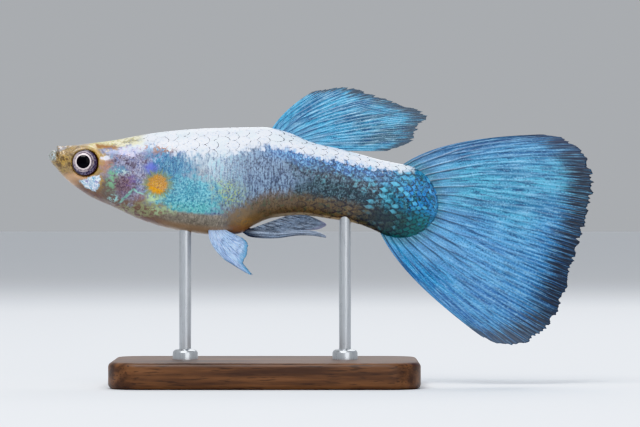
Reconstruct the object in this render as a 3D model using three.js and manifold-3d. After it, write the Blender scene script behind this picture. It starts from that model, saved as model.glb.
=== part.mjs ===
// Male fancy guppy with a broad fan tail, as a still, life-size model on a plain display stand.
// Millimetres, +Z up. The snout points to -X, and the fish's left side faces -Y.
// The origin is the point of the floor under the middle of the fish's length, on the stand's underside.
import * as THREE from 'three';
import { mergeVertices } from 'three/addons/utils/BufferGeometryUtils.js';
import Module from 'manifold-3d';

const wasm = await Module();
wasm.setup();

// Driving dimensions

// Height of the trunk's long axis above the floor. Heights on the fish are counted from this axis.
const AXIS_HEIGHT = 19;
// Clear gap kept between neighbouring pieces
const GAP = 0.3;
// Stations of the body: [x, height, back above, belly below, half width, downward tilt in degrees]
const STATIONS = [
  [-24.95, 1.95, 0.2, 0.22, 0.35, 0],
  [-24.59, 1.8, 0.57, 0.7, 0.85, 0],
  [-24.27, 1.69, 0.96, 0.91, 1.08, 0],
  [-23.91, 1.55, 1.28, 1.23, 1.28, 0],
  [-23.18, 1.41, 1.5, 1.8, 1.6, 0],
  [-21.54, 1.23, 1.87, 2.85, 2.15, 0],
  [-19.17, 0.82, 2.57, 3.57, 2.55, 0],
  [-16.07, 0.37, 3.58, 4.49, 2.8, 0],
  [-12.25, 0.05, 4.33, 5.1, 2.8, 0],
  [-8.24, 0, 4.55, 5.28, 2.45, 0],
  [-7.24, 0, 4.57, 5.1, 2.32, 0],
  [-6.42, 0, 4.58, 4.55, 2.2, 0],
  [-5.33, 0, 4.6, 4.03, 2.05, 0],
  [-3.14, -0.02, 4.05, 3.61, 1.85, 4.5],
  [-1.87, -0.04, 3.46, 3.51, 1.75, 7.5],
  [1.05, -0.53, 3.19, 3.37, 1.45, 13],
  [4.87, -1.55, 3.19, 3.16, 1.1, 19],
  [6.83, -2.14, 3.42, 3.42, 0.92, 19.4],
];
// The tail stalk ends in a rounded, flattened fan of this length, and narrows to this half width.
const STALK_END = { length: 3.85, halfWidth: 0.42 };
// Squareness of the sections' upper and lower halves, at the head and at the tail (2 is an ellipse)
const SECTION_POWER = { headTop: 2.5, headBelly: 2.1, tailTop: 1.9, tailBelly: 1.85 };
const BODY_MESH = { rings: 38, endRings: 6, around: 28 };

// Rear edge of the gill cover, top to throat, as [x, height]
const GILL_EDGE = [
  [-18.75, 4.9], [-18.1, 3.4], [-17.25, 2.45], [-16.55, 1.4], [-16.35, 0.35],
  [-16.7, -0.65], [-17.55, -1.55], [-18.6, -2.35], [-19.7, -3.2], [-20.5, -4.6],
];
// Where the tail stalk parts from the trunk
const STALK_START = { x: -1.32, height: -0.09, tilt: 9 };

const MOUTH = { apexX: -24.12, cornerX: -23.3, halfWidth: 1.45, top: 4, bottom: 1.72, width: 0.3 };
const LIP = { radius: 0.27, upperHeight: 2.52, lowerHeight: 2.2, cornerHeight: 1.75, upperSpan: 0.8, lowerSpan: 0.62 };
const NOSTRIL = { x: -23.2, side: 0.78, height: 2.86, radius: 0.2 };
const EYE = { x: -21.5, height: 1.26, side: 1.55, radius: 1.25, bulge: 0.95 };
const IRIS = { radius: 0.97, pupil: 0.56, step: 0.07 };

// Half thickness of every fin's membrane, how far the rays stand out on each face, and both at the rim.
// The fin keeps its thickness until rimFrom of the rays' length, and thins only over their tips.
const MEMBRANE = { half: 0.25, rayHeight: 0.1, rimHalf: 0.14, rimRayHeight: 0.03, rimFrom: 0.86 };

const CAUDAL = {
  rays: 16, rows: 10,
  centre: [6.83, -2.14], rootRadius: 3.3, rootFrom: 82, rootTo: -119,
  reach: 17.6, middleAngle: -17, halfSpread: 43.5, edgeDrop: 0.235, edgePower: 7, lobe: 0.03,
  rootAngleFrom: 35, rootAngleTo: -65, bow: 0.36,
  wave: 0.45, pleat: 0.1, fringe: 0.26,
};
// One tip for each of the dorsal fin's rays, front to back, as [x, height]
const DORSAL = {
  tips: [[-0.8, 7.85], [2.28, 8.2], [5.46, 7.29], [7.74, 6.47], [9.61, 5.65], [8.77, 4.39], [8.2, 3.14], [5.92, 2.37]],
  rows: 7, rootFrom: [-4.85, 4.0], rootTo: [-1.3, 2.75],
  rootAngleFrom: 62, rootAngleTo: -9, bow: 0.42, fringe: 0.2,
};
const PELVIC = {
  tips: [[-8.75, -7.7], [-6.42, -9.06], [-7.2, -8.0], [-6.85, -7.15], [-6.8, -6.15], [-7.25, -5.6]],
  rows: 6, rootFrom: [-10.35, -4.75], rootTo: [-9.0, -4.7],
  rootAngleFrom: -94, rootAngleTo: -30, bow: 0.45, fringe: 0.08,
  side: 0.95, splay: 14,
};
const ANAL = {
  tips: [[-2.6, -4.66], [-1.5, -4.6], [-0.1, -4.62], [0.41, -4.35], [-0.1, -4.02]],
  rows: 5, rootFrom: [-5.3, -3.75], rootTo: [-2.4, -3.1],
  rootAngleFrom: -28, rootAngleTo: -10, bow: 0.4, fringe: 0.05,
};
// The rod-like front of the anal fin: [x, height, half height, half thickness]
const GONOPODIUM = [
  [-7.3, -4.75, 0.3, 0.26], [-6.6, -5.05, 0.4, 0.32], [-5.2, -5.18, 0.42, 0.32], [-3.87, -5.2, 0.36, 0.3],
  [-2.4, -5.08, 0.27, 0.26], [-1.1, -5.1, 0.24, 0.24], [-0.3, -5.24, 0.2, 0.2], [0.32, -5.45, 0.1, 0.1],
];
const PECTORAL = {
  rays: 8, rows: 5, base: [-16.1, -0.3], side: 2.55, reach: 4.9, spread: 27, rootSpread: 0.3,
  outward: 30, upward: 8, fringe: 0.1, edgeDrop: 0.3, edgePower: 2.2,
};

const STAND = {
  length: 28, depth: 18, thickness: 2.4, corner: 3, chamfer: 0.35, middleX: -5.2,
  rodRadius: 0.55, rodX: [-12.5, 2.05], collarRadius: 1.15, collarHeight: 0.7,
};

// Materials

const finish = (color, roughness, metalness = 0) => new THREE.MeshStandardMaterial({ color, roughness, metalness });
const headSkin = finish(0xa9a06e, 0.35, 0.1);
const trunkSkin = finish(0x8fb4c0, 0.3, 0.25);
const stalkSkin = finish(0x5c8c9c, 0.3, 0.25);
const finBlue = finish(0x5fb0d8, 0.4);
const pelvicBlue = finish(0xb4c8dc, 0.4);
const clearFin = finish(0xd3dcdc, 0.35);
const eyeSilver = finish(0x2b2733, 0.12, 0.2);
const standWood = finish(0x4a3122, 0.5);
const standSteel = finish(0xb8bcc0, 0.3, 1);

// Small helpers

const radians = THREE.MathUtils.degToRad;
const mix = THREE.MathUtils.lerp;
const smooth = THREE.MathUtils.smoothstep;

// A smooth value between the rows of a table: a cubic through the two rows beside t, with the neighbours' slopes
function between(places, values, t) {
  const last = places.length - 1;
  let i = 0;
  while (i < last - 1 && t > places[i + 1]) i += 1;
  const slope = (k) => {
    const a = Math.max(k - 1, 0);
    const b = Math.min(k + 1, last);
    if (a === k || b === k) return (values[b] - values[a]) / (places[b] - places[a]);
    const before = (values[k] - values[a]) / (places[k] - places[a]);
    const after = (values[b] - values[k]) / (places[b] - places[k]);
    return (before * (places[b] - places[k]) + after * (places[k] - places[a])) / (places[b] - places[a]);
  };
  const span = places[i + 1] - places[i];
  const f = THREE.MathUtils.clamp((t - places[i]) / span, 0, 1);
  const f2 = f * f;
  const f3 = f2 * f;
  return (2 * f3 - 3 * f2 + 1) * values[i] + (f3 - 2 * f2 + f) * span * slope(i)
    + (3 * f2 - 2 * f3) * values[i + 1] + (f3 - f2) * span * slope(i + 1);
}

// A closed geometry as a manifold-3d solid
function solidOf(geometry) {
  geometry.deleteAttribute('normal');
  geometry.deleteAttribute('uv');
  const merged = mergeVertices(geometry, 1e-4);
  return new wasm.Manifold(new wasm.Mesh({
    numProp: 3,
    vertProperties: merged.attributes.position.array,
    triVerts: new Uint32Array(merged.index.array),
  }));
}

// A solid skinned over rings of points. Each ring runs anticlockwise seen from the last ring's end.
function loftSolid(rings) {
  const around = rings[0].length;
  const end = rings.length - 1;
  const middleOf = (ring) => ring.reduce((sum, p) => sum.add(p), new THREE.Vector3()).divideScalar(around);
  const points = [...rings.flat(), middleOf(rings[0]), middleOf(rings[end])];
  const faces = [];
  for (let k = 0; k < around; k += 1) {
    const next = (k + 1) % around;
    faces.push(points.length - 2, next, k, points.length - 1, end * around + k, end * around + next);
    for (let row = 0; row < end * around; row += around) {
      faces.push(row + k, row + next, row + around + next, row + k, row + around + next, row + around + k);
    }
  }
  return solidOf(new THREE.BufferGeometry().setFromPoints(points).setIndex(faces));
}

// A solid as a mesh that stands at its anchor
function meshOf(name, solid, material, anchor) {
  const { vertProperties, triVerts } = solid.getMesh();
  const geometry = new THREE.BufferGeometry()
    .setAttribute('position', new THREE.BufferAttribute(new Float32Array(vertProperties), 3))
    .setIndex(new THREE.BufferAttribute(new Uint32Array(triVerts), 1))
    .translate(-anchor.x, -anchor.y, -anchor.z);
  geometry.computeVertexNormals();
  const mesh = new THREE.Mesh(geometry, material);
  mesh.name = name;
  mesh.position.copy(anchor);
  return mesh;
}

const largestOf = (solid) => solid.decompose().sort((a, b) => b.volume() - a.volume())[0];
const ellipsoid = (rx, ry, rz, x, y, z, around = 20, down = 12) =>
  solidOf(new THREE.SphereGeometry(1, around, down).scale(rx, ry, rz).translate(x, y, z));

// Body: one loft from snout to tail stalk

const stationPlace = [0];
for (let i = 1; i < STATIONS.length; i += 1) {
  const [x0, z0] = STATIONS[i - 1];
  const [x1, z1] = STATIONS[i];
  stationPlace.push(stationPlace[i - 1] + Math.hypot(x1 - x0, z1 - z0));
}
const bodyLength = stationPlace[STATIONS.length - 1];
const stationColumn = (k) => STATIONS.map((row) => row[k]);
const [stationX, stationZ, stationUp, stationDown, stationWide, stationTilt] = [0, 1, 2, 3, 4, 5].map(stationColumn);

// The body's section at a distance along its spine, grown outwards by a margin
function bodySection(along, grow = 0) {
  const beyond = Math.max(along - bodyLength, 0);
  const s = Math.min(along, bodyLength);
  const tilt = radians(between(stationPlace, stationTilt, s));
  const round = Math.sqrt(Math.max(1 - (beyond / (STALK_END.length + grow)) ** 2, 0));
  const width = between(stationPlace, stationWide, s);
  return {
    middle: new THREE.Vector3(
      between(stationPlace, stationX, s) + beyond * Math.cos(tilt),
      0,
      AXIS_HEIGHT + between(stationPlace, stationZ, s) - beyond * Math.sin(tilt),
    ),
    upward: new THREE.Vector3(Math.sin(tilt), 0, Math.cos(tilt)),
    up: (between(stationPlace, stationUp, s) + grow) * round,
    down: (between(stationPlace, stationDown, s) + grow) * round,
    wide: mix(width, STALK_END.halfWidth, smooth(beyond, 0, STALK_END.length)) + grow,
    topPower: mix(SECTION_POWER.headTop, SECTION_POWER.tailTop, smooth(s, 4, bodyLength)),
    bellyPower: mix(SECTION_POWER.headBelly, SECTION_POWER.tailBelly, smooth(s, 4, bodyLength)),
  };
}

// A point of a section's edge. The angle runs from the fish's right side, 0, over the back, 90.
function sectionPoint(section, angle) {
  const c = Math.cos(angle);
  const s = Math.sin(angle);
  const power = 2 / (s > 0 ? section.topPower : section.bellyPower);
  const side = Math.sign(c) * Math.abs(c) ** power * section.wide;
  const rise = Math.sign(s) * Math.abs(s) ** power * (s > 0 ? section.up : section.down);
  return section.middle.clone().addScaledVector(section.upward, rise).add(new THREE.Vector3(0, side, 0));
}

function bodySolid(grow = 0) {
  const places = [];
  for (let i = 0; i <= BODY_MESH.rings; i += 1) places.push(bodyLength * (i / BODY_MESH.rings) ** 1.3);
  for (let i = 1; i <= BODY_MESH.endRings; i += 1) {
    places.push(bodyLength + (STALK_END.length + grow) * Math.sin(radians(86 * i / BODY_MESH.endRings)));
  }
  const rings = places.map((along) => {
    const section = bodySection(along, grow);
    return Array.from({ length: BODY_MESH.around }, (_, k) =>
      sectionPoint(section, 2 * Math.PI * k / BODY_MESH.around));
  });
  return loftSolid(rings);
}

// Fins: thin plates whose rays are ridges of their own surface

// Height of a ray's ridge across its width, from -0.5 to 0.5 of the spacing. Past the middle the ray forks in two.
const RAY_COLUMNS = [-0.5, -0.25, 0, 0.25];
const RAY_BEFORE_FORK = [0, 0.35, 1, 0.35];
const RAY_AFTER_FORK = [0, 1, 0.2, 1];

// A plate over a grid: surface(u, v) gives its middle, u across the rays and v along them, and normal its facing.
// Both faces are split along the same diagonals, so that they never cross.
function plateSolid({ rays, rows, surface, normal, fringe }) {
  const columns = [];
  for (let ray = 0; ray < rays; ray += 1) {
    RAY_COLUMNS.forEach((offset, k) => {
      if (ray > 0 || offset > -0.5) columns.push({ u: (ray + 0.5 + offset) / rays, k });
    });
  }
  const firstU = columns[0].u;
  const lastU = columns[columns.length - 1].u;
  const points = [];
  for (const side of [1, -1]) {
    for (let row = 0; row <= rows; row += 1) {
      const v = row / rows;
      for (const { u, k } of columns) {
        const forked = smooth(v, 0.4, 0.65);
        const ridge = mix(RAY_BEFORE_FORK[k], RAY_AFTER_FORK[k], forked);
        const reach = v + (row === rows ? fringe * (ridge - 0.5) : 0);
        const rim = smooth(v, MEMBRANE.rimFrom, 1);
        const half = mix(MEMBRANE.half, MEMBRANE.rimHalf, rim)
          + mix(MEMBRANE.rayHeight, MEMBRANE.rimRayHeight, rim) * ridge;
        points.push(surface((u - firstU) / (lastU - firstU), reach).addScaledVector(normal, side * half));
      }
    }
  }
  const wide = columns.length;
  const at = (side, row, column) => (side * (rows + 1) + row) * wide + column;
  const faces = [];
  const quad = (a, b, c, d) => faces.push(a, b, c, a, c, d);
  for (let row = 0; row < rows; row += 1) {
    for (let column = 0; column < wide - 1; column += 1) {
      quad(at(0, row, column), at(0, row, column + 1), at(0, row + 1, column + 1), at(0, row + 1, column));
      faces.push(at(1, row, column), at(1, row + 1, column + 1), at(1, row, column + 1));
      faces.push(at(1, row, column), at(1, row + 1, column), at(1, row + 1, column + 1));
    }
  }
  for (let row = 0; row < rows; row += 1) {
    quad(at(0, row, 0), at(0, row + 1, 0), at(1, row + 1, 0), at(1, row, 0));
    quad(at(1, row, wide - 1), at(1, row + 1, wide - 1), at(0, row + 1, wide - 1), at(0, row, wide - 1));
  }
  for (let column = 0; column < wide - 1; column += 1) {
    quad(at(0, 0, column + 1), at(0, 0, column), at(1, 0, column), at(1, 0, column + 1));
    quad(at(0, rows, column), at(0, rows, column + 1), at(1, rows, column + 1), at(1, rows, column));
  }
  const plate = () => solidOf(new THREE.BufferGeometry().setFromPoints(points).setIndex(faces));
  if (plate().volume() > 0) return plate();
  // The fin on one side of the fish runs the other way round, so its faces are turned to point out.
  for (let i = 0; i < faces.length; i += 3) [faces[i + 1], faces[i + 2]] = [faces[i + 2], faces[i + 1]];
  return plate();
}

// A ray's path in the fin's own plane: out of the root in its own direction, then over to its tip
function rayPoint(root, tip, rootAngle, bow, v) {
  const reach = Math.hypot(tip[0] - root[0], tip[1] - root[1]) * bow;
  const turn = [root[0] + reach * Math.cos(radians(rootAngle)), root[1] + reach * Math.sin(radians(rootAngle))];
  const w = 1 - v;
  return [0, 1].map((k) => w * w * root[k] + 2 * w * v * turn[k] + v * v * tip[k]);
}

// A fin in the fish's middle plane, or turned out from it, from its root line and its rays' tips
function tippedFin({ tips, rows, rootFrom, rootTo, rootAngleFrom, rootAngleTo, bow, fringe, side = 0, splay = 0 }) {
  const tipPlaces = tips.map((_, k) => k / (tips.length - 1));
  const lean = radians(splay);
  const normal = new THREE.Vector3(0, Math.cos(lean), Math.sin(lean));
  const surface = (u, v) => {
    const root = [mix(rootFrom[0], rootTo[0], u), mix(rootFrom[1], rootTo[1], u)];
    const tip = [0, 1].map((axis) => between(tipPlaces, tips.map((t) => t[axis]), u));
    const [x, z] = rayPoint(root, tip, mix(rootAngleFrom, rootAngleTo, u), bow, v);
    const drop = rootFrom[1] - z;
    return new THREE.Vector3(x, side + drop * Math.sin(lean), AXIS_HEIGHT + rootFrom[1] - drop * Math.cos(lean));
  };
  return plateSolid({ rays: tips.length, rows, surface, normal, fringe: fringe / 4 });
}

function caudalFin() {
  const c = CAUDAL;
  const surface = (u, v) => {
    const rootAngle = radians(mix(c.rootFrom, c.rootTo, u));
    const root = [c.centre[0] + c.rootRadius * Math.cos(rootAngle), c.centre[1] + c.rootRadius * Math.sin(rootAngle)];
    const turn = 1 - 2 * u;
    const tipAngle = radians(c.middleAngle + c.halfSpread * turn);
    const lobes = 1 + c.lobe * Math.cos(2 * Math.PI * (u - 0.19) / 0.6);
    const reach = c.reach * lobes * (1 - c.edgeDrop * Math.abs(turn) ** c.edgePower);
    const tip = [c.centre[0] + reach * Math.cos(tipAngle), c.centre[1] + reach * Math.sin(tipAngle)];
    const [x, z] = rayPoint(root, tip, mix(c.rootAngleFrom, c.rootAngleTo, u), c.bow, v);
    const swell = c.wave * Math.sin(3 * Math.PI * u + 0.6) * v ** 1.5;
    const pleat = c.pleat * Math.sin(2 * Math.PI * c.rays * u / 2) * smooth(v, 0.1, 0.6);
    return new THREE.Vector3(x, swell + pleat, AXIS_HEIGHT + z);
  };
  const normal = new THREE.Vector3(0, 1, 0);
  return plateSolid({ rays: c.rays, rows: c.rows, surface, normal, fringe: c.fringe / c.reach });
}

// A pectoral fin spreads from its short base on the flank, back, up and outwards. Side is -1 on the left.
function pectoralFin(side) {
  const p = PECTORAL;
  const out = radians(p.outward);
  const back = new THREE.Vector3(Math.cos(out), side * Math.sin(out), Math.sin(radians(p.upward))).normalize();
  const normal = new THREE.Vector3(0, 0, 1).cross(back).normalize();
  const up = new THREE.Vector3().crossVectors(back, normal);
  const base = new THREE.Vector3(p.base[0], side * p.side, AXIS_HEIGHT + p.base[1]);
  const surface = (u, v) => {
    const turn = 1 - 2 * u;
    const angle = radians(p.spread) * turn;
    const reach = p.reach * (1 - p.edgeDrop * Math.abs(turn) ** p.edgePower) * v;
    const across = turn * p.rootSpread + reach * Math.sin(angle);
    return base.clone().addScaledVector(back, reach * Math.cos(angle)).addScaledVector(up, across);
  };
  return plateSolid({ rays: p.rays, rows: p.rows, surface, normal, fringe: p.fringe / p.reach });
}

// The gonopodium: a tapered oval rod, thicker by a margin where another piece has to clear it
function gonopodiumSolid(grow = 0) {
  const places = GONOPODIUM.map((_, k) => k / (GONOPODIUM.length - 1));
  const column = (k) => GONOPODIUM.map((row) => row[k]);
  const rings = [];
  for (let i = 0; i <= 16; i += 1) {
    const t = i / 16;
    const [x, z, high, thick] = [0, 1, 2, 3].map((k) => between(places, column(k), t));
    rings.push(Array.from({ length: 10 }, (_, k) => {
      const angle = 2 * Math.PI * k / 10;
      return new THREE.Vector3(x, (thick + grow) * Math.cos(angle), AXIS_HEIGHT + z + (high + grow) * Math.sin(angle));
    }));
  }
  return loftSolid(rings);
}

// Head: lips, mouth slit, nostrils and eye sockets

// The mouth's line seen from above, set back from its apex by an offset
function mouthCurve(offset, span, apexHeight) {
  const points = [];
  for (let i = -4; i <= 4; i += 1) {
    const t = i / 4;
    const y = t * MOUTH.halfWidth * span;
    const x = MOUTH.apexX + offset + (MOUTH.cornerX - MOUTH.apexX) * (y / MOUTH.halfWidth) ** 2;
    points.push(new THREE.Vector3(x, y, AXIS_HEIGHT + mix(apexHeight, LIP.cornerHeight, t * t)));
  }
  return new THREE.CatmullRomCurve3(points);
}

function lipSolid(offset, span, apexHeight) {
  const section = new THREE.Shape().absarc(0, 0, LIP.radius, 0, 2 * Math.PI);
  return solidOf(new THREE.ExtrudeGeometry(section, {
    steps: 10, curveSegments: 4, bevelEnabled: false, extrudePath: mouthCurve(offset, span, apexHeight),
  }));
}

function mouthSlit() {
  const front = mouthCurve(-MOUTH.width / 2, 1.25, 0).getPoints(12);
  const rear = mouthCurve(MOUTH.width / 2, 1.25, 0).getPoints(12).reverse();
  const outline = new THREE.Shape([...front, ...rear].map((p) => new THREE.Vector2(p.x, p.y)));
  return solidOf(new THREE.ExtrudeGeometry(outline, { depth: MOUTH.top - MOUTH.bottom, bevelEnabled: false })
    .translate(0, 0, AXIS_HEIGHT + MOUTH.bottom));
}

// Thin cutting walls that part the body

function wallAlong(points) {
  const curve = new THREE.CatmullRomCurve3(points.map(([x, z]) => new THREE.Vector3(x, z, 0)));
  const line = curve.getPoints(28);
  const shifted = (amount) => line.map((p, i) => {
    const along = curve.getTangent(i / 28);
    return new THREE.Vector2(p.x - along.y * amount, p.y + along.x * amount);
  });
  const outline = new THREE.Shape([...shifted(-GAP / 2), ...shifted(GAP / 2).reverse()]);
  return solidOf(new THREE.ExtrudeGeometry(outline, { depth: 10, bevelEnabled: false })
    .rotateX(Math.PI / 2).translate(0, 5, AXIS_HEIGHT));
}

const stalkWall = solidOf(new THREE.BoxGeometry(GAP, 10, 14)
  .rotateY(radians(STALK_START.tilt))
  .translate(STALK_START.x, 0, AXIS_HEIGHT + STALK_START.height));

let flesh = bodySolid()
  .add(lipSolid(-LIP.radius - 0.05, LIP.lowerSpan, LIP.lowerHeight))
  .add(lipSolid(LIP.radius + 0.05, LIP.upperSpan, LIP.upperHeight))
  .subtract(mouthSlit());
for (const side of [-1, 1]) {
  flesh = flesh
    .subtract(ellipsoid(EYE.radius + GAP, EYE.bulge + GAP, EYE.radius + GAP,
      EYE.x, side * EYE.side, AXIS_HEIGHT + EYE.height, 24, 14))
    .subtract(ellipsoid(NOSTRIL.radius, NOSTRIL.radius, NOSTRIL.radius,
      NOSTRIL.x, side * NOSTRIL.side, AXIS_HEIGHT + NOSTRIL.height, 8, 6));
}
const [head, trunk, stalk] = flesh.subtract(wallAlong(GILL_EDGE)).subtract(stalkWall).decompose()
  .sort((a, b) => b.volume() - a.volume()).slice(0, 3)
  .sort((a, b) => a.boundingBox().min[0] - b.boundingBox().min[0]);

// Eye: a flattened ball with the iris as a raised ring round the pupil

function eyeGeometry() {
  const profile = [new THREE.Vector2(0, -EYE.bulge)];
  for (let i = 1; i <= 9; i += 1) {
    const angle = radians(-90 + 13 * i);
    profile.push(new THREE.Vector2(EYE.radius * Math.cos(angle), EYE.bulge * Math.sin(angle)));
  }
  const ballHeight = (r) => EYE.bulge * Math.sqrt(1 - (r / EYE.radius) ** 2);
  profile.push(
    new THREE.Vector2(IRIS.radius, ballHeight(IRIS.radius)),
    new THREE.Vector2(IRIS.radius - 0.06, ballHeight(IRIS.radius - 0.06) + IRIS.step),
    new THREE.Vector2(IRIS.pupil + 0.06, ballHeight(IRIS.pupil + 0.06) + IRIS.step),
    new THREE.Vector2(IRIS.pupil, ballHeight(IRIS.pupil)),
    new THREE.Vector2(IRIS.pupil / 2, ballHeight(IRIS.pupil / 2)),
    new THREE.Vector2(0, ballHeight(0)),
  );
  return new THREE.LatheGeometry(profile, 24);
}

// Stand

function standBase() {
  const { length, depth, thickness, corner, chamfer } = STAND;
  const x = length / 2 - chamfer;
  const y = depth / 2 - chamfer;
  const r = corner - chamfer;
  const outline = new THREE.Shape().moveTo(-x + r, -y).lineTo(x - r, -y)
    .absarc(x - r, -y + r, r, -Math.PI / 2, 0).lineTo(x, y - r)
    .absarc(x - r, y - r, r, 0, Math.PI / 2).lineTo(-x + r, y)
    .absarc(-x + r, y - r, r, Math.PI / 2, Math.PI).lineTo(-x, -y + r)
    .absarc(-x + r, -y + r, r, Math.PI, 1.5 * Math.PI);
  return new THREE.ExtrudeGeometry(outline, {
    depth: thickness - 2 * chamfer, curveSegments: 6, bevelSegments: 1, bevelSize: chamfer, bevelThickness: chamfer,
  }).translate(0, 0, chamfer);
}

// A rod with a low collar at its foot. Its top is cut to the body's underside, a gap below it.
function standRod(x, clearOf) {
  const foot = STAND.thickness + GAP;
  const profile = [
    [0, foot], [STAND.collarRadius, foot], [STAND.collarRadius, foot + STAND.collarHeight - 0.2],
    [STAND.collarRadius - 0.2, foot + STAND.collarHeight], [STAND.rodRadius, foot + STAND.collarHeight],
    [STAND.rodRadius, AXIS_HEIGHT - 2], [0, AXIS_HEIGHT - 2],
  ].map(([r, z]) => new THREE.Vector2(r, z));
  const rod = solidOf(new THREE.LatheGeometry(profile, 20).rotateX(Math.PI / 2).translate(x, 0, 0));
  return largestOf(rod.subtract(clearOf));
}

// Assembly

const clearBody = bodySolid(GAP);
const clearGonopodium = gonopodiumSolid(GAP);
const rooted = (fin) => largestOf(fin.subtract(clearBody));
const above = (x, y, height) => new THREE.Vector3(x, y, AXIS_HEIGHT + height);

const fish = new THREE.Group();
fish.add(
  meshOf('head', head, headSkin, above(EYE.x, 0, EYE.height)),
  meshOf('trunk', trunk, trunkSkin, above(-12.25, 0, 0)),
  meshOf('tail_stalk', stalk, stalkSkin, above(STALK_START.x, 0, STALK_START.height)),
  meshOf('caudal_fin', rooted(caudalFin()), finBlue, above(CAUDAL.centre[0], 0, CAUDAL.centre[1])),
  meshOf('dorsal_fin', rooted(tippedFin(DORSAL)), finBlue, above(DORSAL.rootFrom[0], 0, DORSAL.rootFrom[1])),
  meshOf('anal_fin', largestOf(rooted(tippedFin(ANAL)).subtract(clearGonopodium)), pelvicBlue,
    above(ANAL.rootFrom[0], 0, ANAL.rootFrom[1])),
  meshOf('gonopodium', rooted(gonopodiumSolid()), pelvicBlue, above(GONOPODIUM[0][0], 0, GONOPODIUM[0][1])),
);
for (const [label, side] of [['left', -1], ['right', 1]]) {
  const eye = new THREE.Mesh(eyeGeometry(), eyeSilver);
  eye.name = `eye_${label}`;
  eye.rotation.x = side < 0 ? Math.PI : 0;
  eye.position.copy(above(EYE.x, side * EYE.side, EYE.height));
  const pelvic = tippedFin({ ...PELVIC, side: side * PELVIC.side, splay: side * PELVIC.splay });
  fish.add(
    eye,
    meshOf(`pectoral_fin_${label}`, rooted(pectoralFin(side)), clearFin,
      above(PECTORAL.base[0], side * PECTORAL.side, PECTORAL.base[1])),
    meshOf(`pelvic_fin_${label}`, rooted(pelvic), pelvicBlue,
      above(PELVIC.rootFrom[0], side * PELVIC.side, PELVIC.rootFrom[1])),
  );
}

const stand = new THREE.Group();
const base = new THREE.Mesh(standBase(), standWood);
base.name = 'stand_base';
base.position.set(STAND.middleX, 0, 0);
stand.add(base);
['front', 'rear'].forEach((label, k) => {
  const foot = new THREE.Vector3(STAND.rodX[k], 0, STAND.thickness);
  stand.add(meshOf(`stand_rod_${label}`, standRod(STAND.rodX[k], clearBody), standSteel, foot));
});

const model = new THREE.Group();
model.add(fish, stand);

export default model;
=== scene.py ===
import math

import bpy
import numpy as np
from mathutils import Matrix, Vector


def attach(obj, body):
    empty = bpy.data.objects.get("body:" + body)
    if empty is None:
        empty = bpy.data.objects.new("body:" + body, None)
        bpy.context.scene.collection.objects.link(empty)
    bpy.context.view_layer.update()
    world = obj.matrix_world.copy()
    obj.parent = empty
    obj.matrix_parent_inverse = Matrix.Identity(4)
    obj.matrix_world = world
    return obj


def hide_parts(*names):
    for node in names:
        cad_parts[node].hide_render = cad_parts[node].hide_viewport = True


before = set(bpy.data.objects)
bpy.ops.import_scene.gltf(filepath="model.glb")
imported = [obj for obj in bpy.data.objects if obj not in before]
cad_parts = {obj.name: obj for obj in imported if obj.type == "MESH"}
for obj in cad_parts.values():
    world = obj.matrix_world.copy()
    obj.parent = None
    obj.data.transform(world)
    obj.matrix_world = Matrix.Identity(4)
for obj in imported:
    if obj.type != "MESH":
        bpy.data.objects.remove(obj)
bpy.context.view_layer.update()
MM = 0.001
AXIS_HEIGHT = 19.0


# Camera
# A long lens level with the fish looks straight at its left side, as the photo does.
# The frame is 640 by 427 pixels, and the whole fish is 549 pixels long in it.
FRAME_WIDTH = 640
FRAME_CENTRE = (320, 213.5)
FISH_LENGTH = {"mm": 50.0, "pixels": 549}
MIDDLE_PIXEL = (322.5, 177.0)
LENS = 216.0
SENSOR = 36.0

mm_per_pixel = FISH_LENGTH["mm"] / FISH_LENGTH["pixels"]
camera_distance = FRAME_WIDTH * mm_per_pixel * LENS / SENSOR
camera_data = bpy.data.cameras.new("camera")
camera_data.lens = LENS
camera_data.sensor_width = SENSOR
camera_data.clip_start = 0.01
camera_data.clip_end = 10.0
camera = bpy.data.objects.new("camera", camera_data)
camera.location = Vector((
    (FRAME_CENTRE[0] - MIDDLE_PIXEL[0]) * mm_per_pixel,
    -camera_distance,
    AXIS_HEIGHT - (FRAME_CENTRE[1] - MIDDLE_PIXEL[1]) * mm_per_pixel,
)) * MM
camera.rotation_euler = (math.radians(90), 0, 0)
bpy.context.scene.collection.objects.link(camera)
bpy.context.scene.camera = camera


# Floor
# One wide round sheet of pale matt studio card, flat under the stand, which isn't part of the object.
# It reaches far out on every side, so that the fish can be seen from all round.
def add(tree, kind, *feeds, out=0, **settings):
    """Adds a node, gives its inputs their links or values in order, and gives back one of its outputs."""
    made = tree.nodes.new(kind)
    for name, value in settings.items():
        setattr(made, name, value)
    for socket, feed in zip(made.inputs, feeds):
        if isinstance(feed, bpy.types.NodeSocket):
            tree.links.new(feed, socket)
        elif feed is not None:
            socket.default_value = feed
    return made.outputs[out]


def shade(red, green, blue):
    """A colour from 0 to 255 in red, green and blue, as the linear colour that shaders take."""
    parts = [c / 255 for c in (red, green, blue)]
    linear = [c / 12.92 if c <= 0.04045 else ((c + 0.055) / 1.055) ** 2.4 for c in parts]
    return (*linear, 1.0)


def paint(tree, under, over, mask):
    """Lays one colour over another through a mask."""
    mixer = add(tree, "ShaderNodeMix", mask, data_type="RGBA", out=2).node
    for socket, feed in ((mixer.inputs[6], under), (mixer.inputs[7], over)):
        if isinstance(feed, bpy.types.NodeSocket):
            tree.links.new(feed, socket)
        else:
            socket.default_value = feed
    return mixer.outputs[2]


def make_material(name, **settings):
    """A material with its shader, whose named sockets are given the same value all over."""
    material = bpy.data.materials.new(name)
    material.use_nodes = True
    shader = material.node_tree.nodes["Principled BSDF"]
    for socket, value in settings.items():
        shader.inputs[socket.replace("_", " ")].default_value = value
    return material, material.node_tree, shader


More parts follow.
